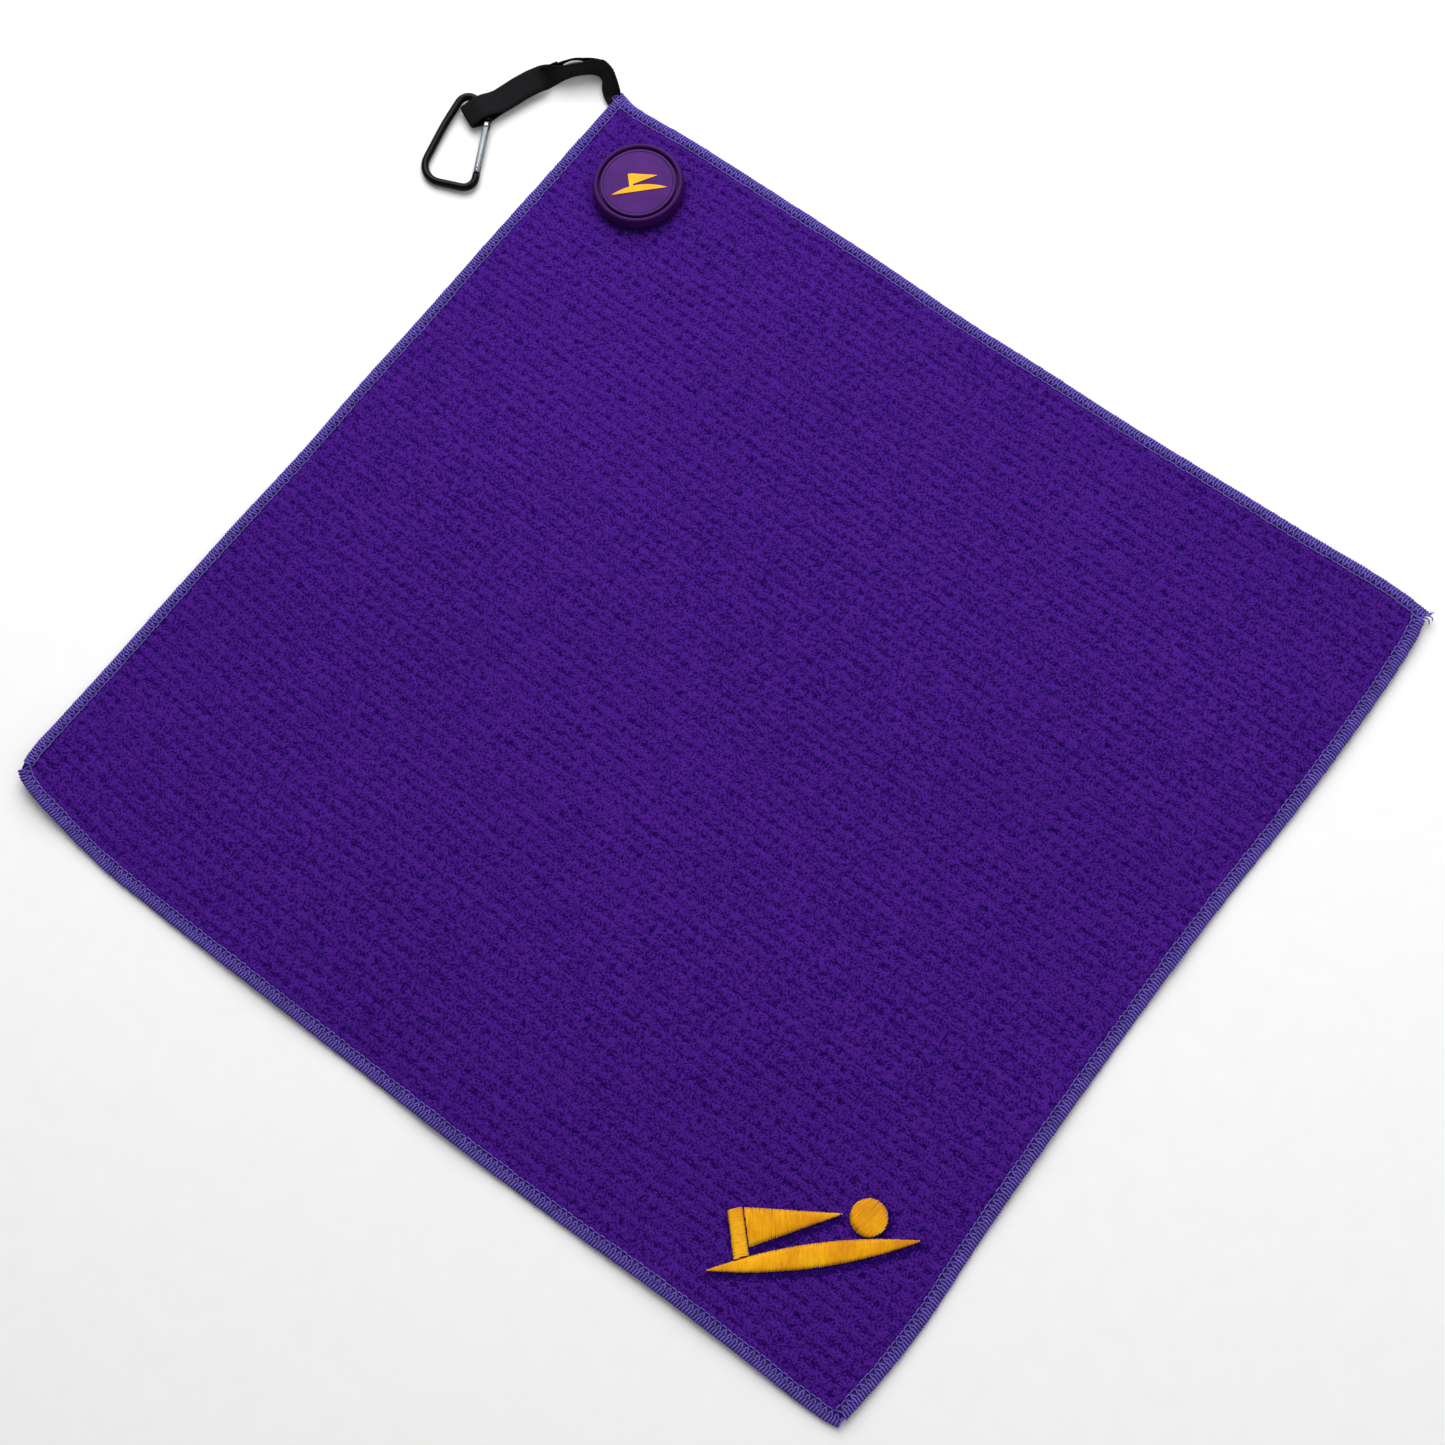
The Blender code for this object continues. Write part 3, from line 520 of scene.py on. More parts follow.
def tubes_mesh(name, strands, sides=5):
    """One mesh of closed strands, each a path and the radius at each of its points."""
    points, faces = [], []
    for path, radii in strands:
        faces += sweep_faces(len(path), sides, len(points))
        for i, (point, radius) in enumerate(zip(path, radii)):
            tangent = (path[min(i + 1, len(path) - 1)] - path[max(i - 1, 0)]).normalized()
            side = tangent.cross(UP if abs(tangent.z) < 0.9 else Vector((0, 1, 0))).normalized()
            top = side.cross(tangent)
            points += [point + (side * cos + top * sin) * radius for cos, sin in circle(sides)]
    return mesh_from(name, points, faces)


def smooth_angle(mesh, degrees):
    mesh.shade_smooth()
    mesh.set_sharp_from_angle(angle=math.radians(degrees))


def lathe(name, profile, centre, look, closed=False, steps=192, sharp=50):
    """A round piece from (radius, height) pairs, about a centre, its height in metres."""
    points, faces, rings = [], [], []
    for radius, height in profile:
        if radius < 1e-9:
            rings.append([len(points)])
            points.append((centre.x, centre.y, height))
            continue
        rings.append(range(len(points), len(points) + steps))
        for cos, sin in circle(steps):
            points.append((centre.x + radius * cos, centre.y + radius * sin, height))
    pairs = list(zip(rings, rings[1:])) + ([(rings[-1], rings[0])] if closed else [])
    for low, high in pairs:
        for i in range(steps):
            k = (i + 1) % steps
            corners = [low[i % len(low)], low[k % len(low)]]
            corners += [high[k % len(high)], high[i % len(high)]]
            faces.append(tuple(dict.fromkeys(corners)))
    mesh = mesh_from(name, points, faces)
    smooth_angle(mesh, sharp)
    return add_object(name, mesh, look)


def rounded(corners, radius, steps=4):
    """A profile with each inner corner rounded by up to that radius."""
    made = [corners[0]]
    for a, b, c in zip(corners, corners[1:], corners[2:]):
        a, b, c = Vector(a), Vector(b), Vector(c)
        reach = min(radius, (a - b).length / 2, (c - b).length / 2)
        start, end = b + (a - b).normalized() * reach, b + (c - b).normalized() * reach
        for i in range(steps + 1):
            t = i / steps
            made.append(tuple(start * (1 - t) ** 2 + b * 2 * t * (1 - t) + end * t**2))
    return [*made, corners[-1]]


def refined(node_name, name, look, sharp=40):
    """A smooth shaded copy of a CAD node, which it stands for."""
    bm = bmesh.new()
    bm.from_mesh(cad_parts[node_name].data)
    bmesh.ops.remove_doubles(bm, verts=bm.verts, dist=2e-6)
    mesh = bpy.data.meshes.new(name)
    bm.to_mesh(mesh)
    bm.free()
    smooth_angle(mesh, sharp)
    return add_object(name, mesh, look)


def plain_mesh(obj, name):
    """The evaluated object as a plain mesh object, its modifiers gone."""
    graph = bpy.context.evaluated_depsgraph_get()
    mesh = bpy.data.meshes.new_from_object(obj.evaluated_get(graph), depsgraph=graph)
    mesh.name = name
    made = linked(name, mesh)
    bpy.data.objects.remove(obj)
    return made


def set_inputs(modifier, values):
    """Sets a Geometry Nodes modifier's inputs by their sockets' identifiers."""
    for item in modifier.node_group.interface.items_tree:
        if item.item_type == "SOCKET" and item.in_out == "INPUT" and item.name in values:
            modifier[item.identifier] = values[item.name]


def new_tree(name, inputs):
    """A Geometry Nodes tree with a geometry in and out, and named inputs."""
    tree = bpy.data.node_groups.new(name, "GeometryNodeTree")
    tree.interface.new_socket("Geometry", in_out="INPUT", socket_type="NodeSocketGeometry")
    for label, kind in inputs.items():
        tree.interface.new_socket(label, in_out="INPUT", socket_type="NodeSocket" + kind)
    tree.interface.new_socket("Geometry", in_out="OUTPUT", socket_type="NodeSocketGeometry")
    return tree, tree.nodes.new("NodeGroupInput"), tree.nodes.new("NodeGroupOutput")


def threaded(tree, given, placed):
    """The placed stitches as real geometry, in the thread's material."""
    real = node(tree, "GeometryNodeRealizeInstances", {0: placed})
    inputs = {"Geometry": real, "Material": given.outputs["Thread"]}
    return node(tree, "GeometryNodeSetMaterial", inputs).outputs[0]


# ---- how the cloth lies ---------------------------------------------------------------
def edge_stretch(x, y):
    """Where a point of the flat cloth lies on the table, all in millimetres."""
    right = (x + half_x) / (2 * half_x)
    top = (y + half_y) / (2 * half_y)
    moved_x = x + eased(right_wave, y) * right**3 - eased(left_wave, y) * (1 - right) ** 3
    moved_y = y + eased(top_wave, x) * top**3 - eased(bottom_wave, x) * (1 - top) ** 3
    return moved_x, moved_y


def lift(x, y):
    """How high the cloth stands off the table, in millimetres."""
    raised = corner_lift * bell(np.hypot(x + half_x, y + half_y), 24)
    raised = raised + far_corner_lift * bell(np.hypot(x - half_x, y - half_y), 22)
    inset = np.minimum(half_x - np.abs(x), half_y - np.abs(y))
    rim = bell(np.maximum(inset, 0), 13)
    along = np.where(half_x - np.abs(x) < half_y - np.abs(y), y, x)
    quiet = away(x, y, (-half_x, half_y), 60, 50)
    ripple = 0.55 + 0.55 * np.sin(along / 17.0 + 0.8 * np.sin(along / 41.0))
    raised = raised + quiet * rim * ripple
    roll = 0.5 + 0.25 * np.sin(x / 37.0 + y / 61.0) + 0.25 * np.sin(y / 29.0 - x / 83.0)
    calm = away(x, y, marker_at, 24, 30) * away(x, y, emblem_at, 46, 30)
    return raised + 0.5 * roll * calm * np.clip(inset / 30, 0, 1)


def emblem_axes(x, y):
    """A point's place along and across the emblem, in millimetres."""
    dx, dy = x - emblem_at[0], y - emblem_at[1]
    return (dx + dy) * diagonal, (dy - dx) * diagonal


def emblem_distance(along, across):
    """How far a point lies outside the emblem's blocks, in millimetres; 0 inside them."""
    nearest = np.full(along.shape, 99.0)
    close = (np.abs(along) < 46) & (np.abs(across) < 18)
    px, py = along[close], across[close]
    found = np.full(px.shape, 99.0)
    for _, outline, _ in emblem_outlines():
        inside = np.zeros(px.shape, bool)
        for (ax, ay), (bx, by) in zip(outline, [*outline[1:], outline[0]]):
            run_x, run_y = bx - ax, by - ay
            reach = run_x**2 + run_y**2 + 1e-12
            t = np.clip(((px - ax) * run_x + (py - ay) * run_y) / reach, 0, 1)
            found = np.minimum(found, np.hypot(px - ax - t * run_x, py - ay - t * run_y))
            if ay != by:
                inside ^= ((ay > py) != (by > py)) & (px < ax + run_x * (py - ay) / run_y)
        found[inside] = 0
    nearest[close] = found
    return nearest


# ---- the cloth ------------------------------------------------------------------------
def waffle(x, y, sizes, seed):
    """Height of the pile at a point, from 0 in a pit to 1 on a ridge."""
    rng = np.random.default_rng(seed)
    cell_x, cell_y = sizes.cell_length / mm, sizes.cell_width / mm
    row = y / cell_y
    line = np.floor(row)
    down = row - line - 0.5
    shift = 0.06 * np.sin(line * 1.9) + 0.10 * np.sin(line * 0.7)
    column = x / cell_x + 0.055 * row + shift
    spot = np.floor(column)
    side = column - spot - 0.5
    index = (line.astype(int) * 131 + spot.astype(int) * 17) % 4096
    depth = 0.55 + 0.60 * rng.random(4096)[index]
    slide = 0.26 * (rng.random(4096)[index] - 0.5)
    sink = 0.20 * (rng.random(4096)[index] - 0.5)
    groove = bell(down, 0.22)
    pit = np.exp(-(((side + slide - 0.35 * down) / 0.25) ** 2) - ((down + sink) / 0.27) ** 2)
    return np.clip(1 - 0.24 * groove - 0.50 * depth * pit, 0, 1)


def make_cloth(settings):
    sizes = settings.sizes
    wide, deep = half_x - cloth_inset, half_y - cloth_inset
    cells_x = round(2 * wide / (sizes.cell_length / mm))
    cells_y = round(2 * deep / (sizes.cell_width / mm))
    per_x, per_y = 3, 4
    nx, ny = cells_x * per_x, cells_y * per_y
    x, y = np.meshgrid(np.linspace(-wide, wide, nx + 1), np.linspace(-deep, deep, ny + 1))
    rng = np.random.default_rng(sizes.seed)
    border = np.minimum(wide - np.abs(x), deep - np.abs(y))
    inner = np.clip((border - 3.3) / 1.3, 0, 1)
    inner = inner * inner * (3 - 2 * inner)
    pile_and_painted_shade = waffle(x, y, sizes, sizes.seed)
    ragged = np.clip(pile_and_painted_shade + 0.34 * (rng.random(pile_and_painted_shade.shape) - 0.5), 0, 1)
    under = away(x, y, marker_at, 19.2, 2.2)
    gap = emblem_distance(*emblem_axes(x, y))
    sewn = np.clip((gap - 0.3) / 1.4, 0, 1)
    pressed = under * (0.25 + 0.75 * sewn)
    top = sizes.cloth_top / mm - sizes.pile_height / mm * (1 - ragged)
    top = pressed_height + (top - pressed_height) * pressed
    top = hem_height + (top - hem_height) * inner
    raised = lift(x, y)
    moved_x, moved_y = edge_stretch(x, y)
    points = np.stack([moved_x, moved_y, top + raised], -1).reshape(-1, 3)
    low_x, low_y = x[::per_y, ::per_x], y[::per_y, ::per_x]
    low_moved = edge_stretch(low_x, low_y)
    low_z = underside + lift(low_x, low_y) + 0.6 * (1 - inner[::per_y, ::per_x])
    low_points = np.stack([*low_moved, low_z], -1).reshape(-1, 3)
    grid = np.arange(points.shape[0]).reshape(ny + 1, nx + 1)
    low_grid = np.arange(low_points.shape[0]).reshape(cells_y + 1, cells_x + 1) + points.shape[0]

    def quads(g, flip):
        made = np.stack([g[:-1, :-1], g[:-1, 1:], g[1:, 1:], g[1:, :-1]], -1).reshape(-1, 4)
        return (made[:, ::-1] if flip else made).tolist()

    faces = quads(grid, False) + quads(low_grid, True)
    rims = (
        (grid[0], low_grid[0], per_x, True),
        (grid[-1], low_grid[-1], per_x, False),
        (grid[:, 0], low_grid[:, 0], per_y, False),
        (grid[:, -1], low_grid[:, -1], per_y, True),
    )
    for high_rim, low_rim, step, flip in rims:
        for i in range(len(low_rim) - 1):
            face = high_rim[i * step : (i + 1) * step + 1].tolist()
            face += [int(low_rim[i + 1]), int(low_rim[i])]
            faces.append(face[::-1] if flip else face)
    mesh = bpy.data.meshes.new("towel_fabric")
    every = np.concatenate([points, low_points]) * mm
    mesh.from_pydata(every.tolist(), [], faces)
    mesh.shade_smooth()
    painted_shade_attribute = mesh.attributes.new("pile_and_painted_shade", "FLOAT", "POINT")
    # Painted shade: the pits of the pile are darkened in the colour, left mid-toned where the pile
    # is pressed flat, and a painted shadow rings the emblem's stitching.
    shade = 0.62 + (ragged - 0.62) * pressed * (0.3 + 0.7 * inner)
    shade -= 0.55 * bell(gap, 1.0)
    values = np.concatenate([shade.ravel(), np.full(len(low_points), 0.5)])
    painted_shade_attribute.data.foreach_set("value", values.astype(np.float32))
    cloth = add_object("towel_fabric", mesh, cloth_material(tuple(settings.colours.cloth)))
    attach(cloth, "towel")
    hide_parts("towel_cloth")


# ---- overlocked edges -----------------------------------------------------------------
# loose thread ends: places from the corner's start of stitching, in millimetres
tail_paths = (
    ((0.4, 2.2, 0.5), (1.5, 3.6, 1.0), (2.9, 4.7, 0.8), (3.2, 6.0, 0.3)),
    ((0.6, 2.0, 0.2), (2.2, 3.0, 0.8), (3.9, 3.6, 0.3), (4.8, 2.9, -0.6)),
    ((0.8, 1.8, 0.6), (2.0, 3.3, 0.6), (2.9, 4.6, 0.0), (2.2, 5.8, -0.8)),
    ((0.8, 1.4, 0.0), (2.4, 2.2, 0.2), (3.8, 2.0, -0.5), (4.5, 1.0, -1.1)),
)

edge_runs = {
    # outward direction, then the run's start and end along the edge in millimetres
    "top": ((0, 1), -205.0, 205.0),
    "right": ((1, 0), 190.6, -190.6),
    "bottom": ((0, -1), 205.0, -205.0),
    "left": ((-1, 0), -190.6, 190.6),
}


def edge_path(side, seam_width, trim, step=1.5):
    """Points along the middle of an edge's stitching, in metres; outwards is on its left."""
    (ox, oy), start, end = edge_runs[side]
    start, end = start - math.copysign(trim, start), end - math.copysign(trim, end)
    at = np.linspace(start, end, max(2, int(abs(end - start) / step)) + 1)
    inset = seam_width / mm / 2
    if ox:
        flat_x, flat_y = np.full_like(at, ox * half_x), at
    else:
        flat_x, flat_y = at, np.full_like(at, oy * half_y)
    x, y = edge_stretch(flat_x, flat_y)
    path = np.stack([x - ox * inset, y - oy * inset, stitching_height + lift(flat_x, flat_y)], -1)
    return path * mm


def bed_mesh(name, path, width):
    """The bed of thread that the stitches stand on, swept along a path."""
    half = width / mm / 2 - 0.25
    profile = np.array([
        (-half, 0.5), (-half + 0.5, 0.85), (-half * 0.4, 1.0), (half * 0.4, 1.0),
        (half - 0.6, 0.75), (half - 0.05, 0.2), (half - 0.05, -0.4), (half - 0.6, -0.95),
        (0, -1.1), (-half + 0.4, -1.0), (-half, -0.6),
    ]) * mm
    tangent = np.gradient(path, axis=0)
    tangent[:, 2] = 0
    tangent /= np.linalg.norm(tangent, axis=1)[:, None]
    outward = np.stack([-tangent[:, 1], tangent[:, 0], np.zeros(len(path))], -1)
    points = path[:, None] + outward[:, None] * profile[None, :, :1]
    points[:, :, 2] += profile[None, :, 1]
    return mesh_from(name, points.reshape(-1, 3), sweep_faces(len(path), len(profile)))


def stitch_mesh(pitch):
    """One overlock stitch: two wraps over the edge, a V on the face, the needle's scallop."""
    p = pitch / mm
    strands = []
    for shift in (-0.25 * p, 0.25 * p):
        wrap = (
            (-0.42, -0.7, 1.16), (-0.10, 0.6, 1.30), (0.16, 1.75, 0.95),
            (0.30, 2.2, 0.2), (0.34, 2.2, -0.5),
        )
        strands.append(([(x + shift, y, z) for x, y, z in wrap], (0.30, 0.42, 0.46, 0.44, 0.36)))
    for way in (-p, p):
        arm = [(way * 0.44, -2.15, 1.0), (way * 0.30, -1.2, 1.42), (way * 0.10, 0.1, 1.36)]
        strands.append((arm, (0.24, 0.33, 0.26)))
    scallop = ((-0.52, -2.15, 1.06), (-0.3, -2.72, 1.30), (0.3, -2.72, 1.30), (0.52, -2.15, 1.06))
    strands.append(([(x * p, y, z) for x, y, z in scallop], (0.20, 0.26, 0.26, 0.20)))
    return tubes_mesh(
        "overlock_stitch",
        [([Vector(q) * mm for q in path], [r * mm for r in radii]) for path, radii in strands],
    )


def stitch_tree():
    """Stitches along a path, joined to the bed they stand on."""
    inputs = {
        "Path": "Object",
        "Stitch": "Object",
        "Pitch": "Float",
        "Spread": "Float",
        "Seed": "Int",
        "Thread": "Material",
    }
    tree, given, result = new_tree("Overlock stitches", inputs)
    path = node(tree, "GeometryNodeObjectInfo", {"Object": given.outputs["Path"]})
    stitch = node(tree, "GeometryNodeObjectInfo", {"Object": given.outputs["Stitch"]})
    points = node(
        tree,
        "GeometryNodeCurveToPoints",
        {"Curve": path.outputs["Geometry"], "Length": given.outputs["Pitch"]},
        mode="LENGTH",
    )
    heading = node(
        tree, "FunctionNodeAlignRotationToVector", {"Vector": points.outputs["Tangent"]}, axis="X"
    )
    upright = node(
        tree,
        "FunctionNodeAlignRotationToVector",
        {"Rotation": heading.outputs[0], "Vector": (0, 0, 1)},
        axis="Z",
        pivot_axis="X",
    )
    spread = given.outputs["Spread"]
    low, high = maths(tree, "SUBTRACT", 1.0, spread), maths(tree, "ADD", 1.0, spread)
    size = node(
        tree,
        "FunctionNodeRandomValue",
        {"Min": low, "Max": high, "Seed": given.outputs["Seed"]},
        data_type="FLOAT_VECTOR",
    )
    placed = node(
        tree,
        "GeometryNodeInstanceOnPoints",
        {
            "Points": points.outputs["Points"],
            "Instance": stitch.outputs["Geometry"],
            "Rotation": upright.outputs[0],
            "Scale": size.outputs[0],
        },
    )
    joined = node(tree, "GeometryNodeJoinGeometry")
    tree.links.new(threaded(tree, given, placed), joined.inputs[0])
    tree.links.new(given.outputs["Geometry"], joined.inputs[0])
    tree.links.new(joined.outputs[0], result.inputs[0])
    return tree


def curve_object(name, path):
    curve = bpy.data.curves.new(name, "CURVE")
    curve.dimensions = "3D"
    spline = curve.splines.new("POLY")
    spline.points.add(len(path) - 1)
    for point, place in zip(spline.points, path):
        point.co = (*place, 1.0)
    return linked(name, curve)


def add_tails(mesh, corner):
    """Adds the loose thread ends, at the corner where the stitching stops, to its bed."""
    strands = []
    for tail in tail_paths:
        path = through([corner + Vector(place) * mm for place in tail], 4)
        strands.append((path, [(0.34 - 0.14 * i / len(path)) * mm for i in range(len(path))]))
    tails = tubes_mesh("tails", strands)
    bm = bmesh.new()
    bm.from_mesh(mesh)
    bed_faces = len(bm.faces)
    bm.from_mesh(tails)
    bm.faces.ensure_lookup_table()
    for face in bm.faces[bed_faces:]:
        face.material_index = 1
    bm.to_mesh(mesh)
    bm.free()
    mesh.shade_smooth()
    bpy.data.meshes.remove(tails)


def make_edging(settings):
    sizes, colours = settings.sizes, settings.colours
    edging = tuple(colours.edging)
    thread = thread_material("edge_thread", edging, 0.6, 0.5, 0.05)
    bed_look = thread_material("edge_bed", scaled(edging, 0.20), 0.6, 0.7, 0.02)
    tree = stitch_tree()
    stitch = add_object("stitch", stitch_mesh(sizes.stitch_pitch))
    half_stitch = sizes.stitch_pitch / 2 / mm
    for number, side in enumerate(edge_runs):
        path = edge_path(side, sizes.seam_width, bed_trim)
        guide = curve_object("guide", edge_path(side, sizes.seam_width, half_stitch))
        bed = add_object("bed", bed_mesh("bed", path, sizes.seam_width), bed_look)
        if side == "right":
            bed.data.materials.append(thread)
            add_tails(bed.data, Vector(path[0]))
        modifier = bed.modifiers.new("stitches", "NODES")
        modifier.node_group = tree
        set_inputs(
            modifier,
            {
                "Path": guide,
                "Stitch": stitch,
                "Pitch": sizes.stitch_pitch,
                "Spread": 0.07,
                "Seed": sizes.seed + number,
                "Thread": thread,
            },
        )
        run = plain_mesh(bed, f"overlock_{side}")
        bpy.data.objects.remove(guide)
        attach(run, "towel")
        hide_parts(f"seam_{side}_edge")
    bpy.data.objects.remove(stitch)


# ---- the hanging loop -----------------------------------------------------------------
def through(points, per_span=12):
    """A smooth curve through the points."""
    ends = [2 * points[0] - points[1], *points, 2 * points[-1] - points[-2]]
    route = []
    for a, b, c, d in zip(ends, ends[1:], ends[2:], ends[3:]):
        for i in range(per_span):
            t = i / per_span
            bend, turn = 2 * a - 5 * b + 4 * c - d, 3 * b - a - 3 * c + d
            route.append(0.5 * (2 * b + (c - a) * t + bend * t * t + turn * t**3))
    route.append(points[-1])
    return route


def loop_line():
    """The loop's middle line, each point's share of the way to the fold, and its length."""
    fold = bar_place + loop_onward * (fold_length - fold_depth)
    route = through([*loop_route, bar_place - loop_onward * eye_lead, bar_place, fold])
    shares = [0.0]
    for a, b in zip(route, route[1:]):
        shares.append(shares[-1] + (b - a).length)
    total = shares[-1]
    return route, np.array(shares) / total, total


def webbing_path():
    """Points, and the directions across the webbing, of both runs and the fold between them."""
    route, shares, total = loop_line()
    bar_share = 1 - (fold_length - fold_depth) / total
    gathers = eased(loop_gather, shares)
    outs, drops = eased(loop_splay, shares, 1), eased(loop_splay, shares, 2)
    runs = []
    for column in (1, 2):
        tilts = eased(loop_tilt, shares, column)
        run = []
        for i, point in enumerate(route):
            tangent = (route[min(i + 1, len(route) - 1)] - route[max(i - 1, 0)]).normalized()
            tilt = math.radians(tilts[i])
            across = Matrix.Rotation(-tilt, 3, tangent) @ UP.cross(tangent).normalized()
            near = min(abs(shares[i] - bar_share) * total / eye_reach, 1)
            half = drops[i] / 2 * mm
            half += (bar_clearance - half) * math.cos(near * math.pi / 2) ** 2
            place = point + UP * half
            if column == 2:
                outward = tangent.cross(UP).normalized()
                place = point + (outward * outs[i] * mm - UP * half)
            rest = webbing_width / 2 * math.sin(tilt) + webbing_thickness / 2 * math.cos(tilt)
            place.z = max(place.z, rest + 0.2 * mm)
            run.append((place, across * float(gathers[i])))
        runs.append(run)
    upper, under = runs
    (top, across), (low, _) = upper[-1], under[-1]
    middle, radius = (top + low) / 2, (top - low).length / 2
    fold = []
    for i in range(1, 8):
        a = math.pi * i / 8
        turned = UP * radius * math.cos(a) + loop_onward * radius * math.sin(a)
        fold.append((middle + turned, across))
    inward = Vector((1, 0, 0))
    start, end = (
        [(run[0][0] + inward * depth * mm, run[0][1]) for depth in sewn_depths] for run in runs
    )
    return [*reversed(start), *upper, *fold, *reversed(under), *end]


def resampled(path, step):
    """The path's points and directions, evenly spaced."""
    points = np.array([p for p, _ in path])
    sides = np.array([s for _, s in path])
    far = np.concatenate([[0], np.cumsum(np.linalg.norm(np.diff(points, axis=0), axis=1))])
    at = np.linspace(0, far[-1], int(far[-1] / step) + 1)
    even = np.stack([np.interp(at, far, points[:, i]) for i in range(3)], -1)
    side = np.stack([np.interp(at, far, sides[:, i]) for i in range(3)], -1)
    for _ in range(3):
        even[1:-1] = (even[:-2] + 2 * even[1:-1] + even[2:]) / 4
    return even, side, at


def make_loop(settings):
    pitch = settings.sizes.rib_pitch
    points, sides, at = resampled(webbing_path(), pitch / 4)
    tangents = np.gradient(points, axis=0)
    tangents /= np.linalg.norm(tangents, axis=1)[:, None]
    widths = np.linalg.norm(sides, axis=1) * webbing_width
    sides -= tangents * (sides * tangents).sum(1)[:, None]
    sides /= np.linalg.norm(sides, axis=1)[:, None]
    normals = np.cross(tangents, sides)
    columns = 12
    spots = np.linspace(-0.5, 0.5, columns + 1)
    rows = []
    for i in range(len(points)):
        wave = at[i] / pitch * 2 * math.pi
        ring = []
        for face in (1, -1):
            for spot in spots[::face]:
                half = webbing_thickness / 2 * (1 - 0.35 * (2 * abs(spot)) ** 10)
                phase = wave + (math.pi if face < 0 else 0) + 0.5 * math.cos(spot * 44)
                height = face * (half - rib_height * 0.5 + rib_height * 0.5 * math.cos(phase))
                place = points[i] + sides[i] * spot * widths[i] + normals[i] * height
                place[2] = max(place[2], table_gap)
                ring.append(place)
        rows.append(ring)
    sides_count = len(rows[0])
    every = [p for ring in rows for p in ring]
    mesh = mesh_from("webbing_loop", every, sweep_faces(len(rows), sides_count))
    layer = mesh.uv_layers.new(name="weave")
    spots_round = np.concatenate([spots, spots[::-1]]) * webbing_width
    for loop in mesh.loops:
        ring, spot = divmod(loop.vertex_index, sides_count)
        layer.data[loop.index].uv = (at[ring], spots_round[spot])
    loop = add_object("webbing_loop", mesh, webbing_material(tuple(settings.colours.webbing)))
    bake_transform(loop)
    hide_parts("hanging_loop", "loop_sewn_end")


# ---- the carabiner --------------------------------------------------------------------
def make_carabiner(settings):
    turn = (0, 0, math.atan2(gate_heading.y, gate_heading.x))
    silver = metal_material("satin_gate", (0.30, 0.315, 0.36), 0.42, 0.56, turn, (12, 1, 1))
    black = coated_material("black_gloss", (0.0016, 0.0016, 0.0019), 0.10, 0.16, 0.10, 700)
    rivet_look = metal_material("rivet_steel", (0.72, 0.73, 0.75), 0.18, 0.30)
    spring_look = metal_material("spring_steel", (0.52, 0.52, 0.54), 0.25, 0.4)
    for source, name, look, body, slot in (
        ("carabiner_body", "carabiner_rod", black, "carabiner", "black_metal"),
        ("carabiner_gate", "gate_tube", silver, "gate", "silver_metal"),
        ("gate_pivot_rivet", "gate_pivot", rivet_look, "carabiner", "rivet_steel"),
        ("gate_latch_pin", "gate_pin", rivet_look, "gate", "rivet_steel"),
        ("gate_spring", "gate_coil", spring_look, "gate", "spring_steel"),
    ):
        piece = refined(source, name, look)
        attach(piece, body)
        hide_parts(source)


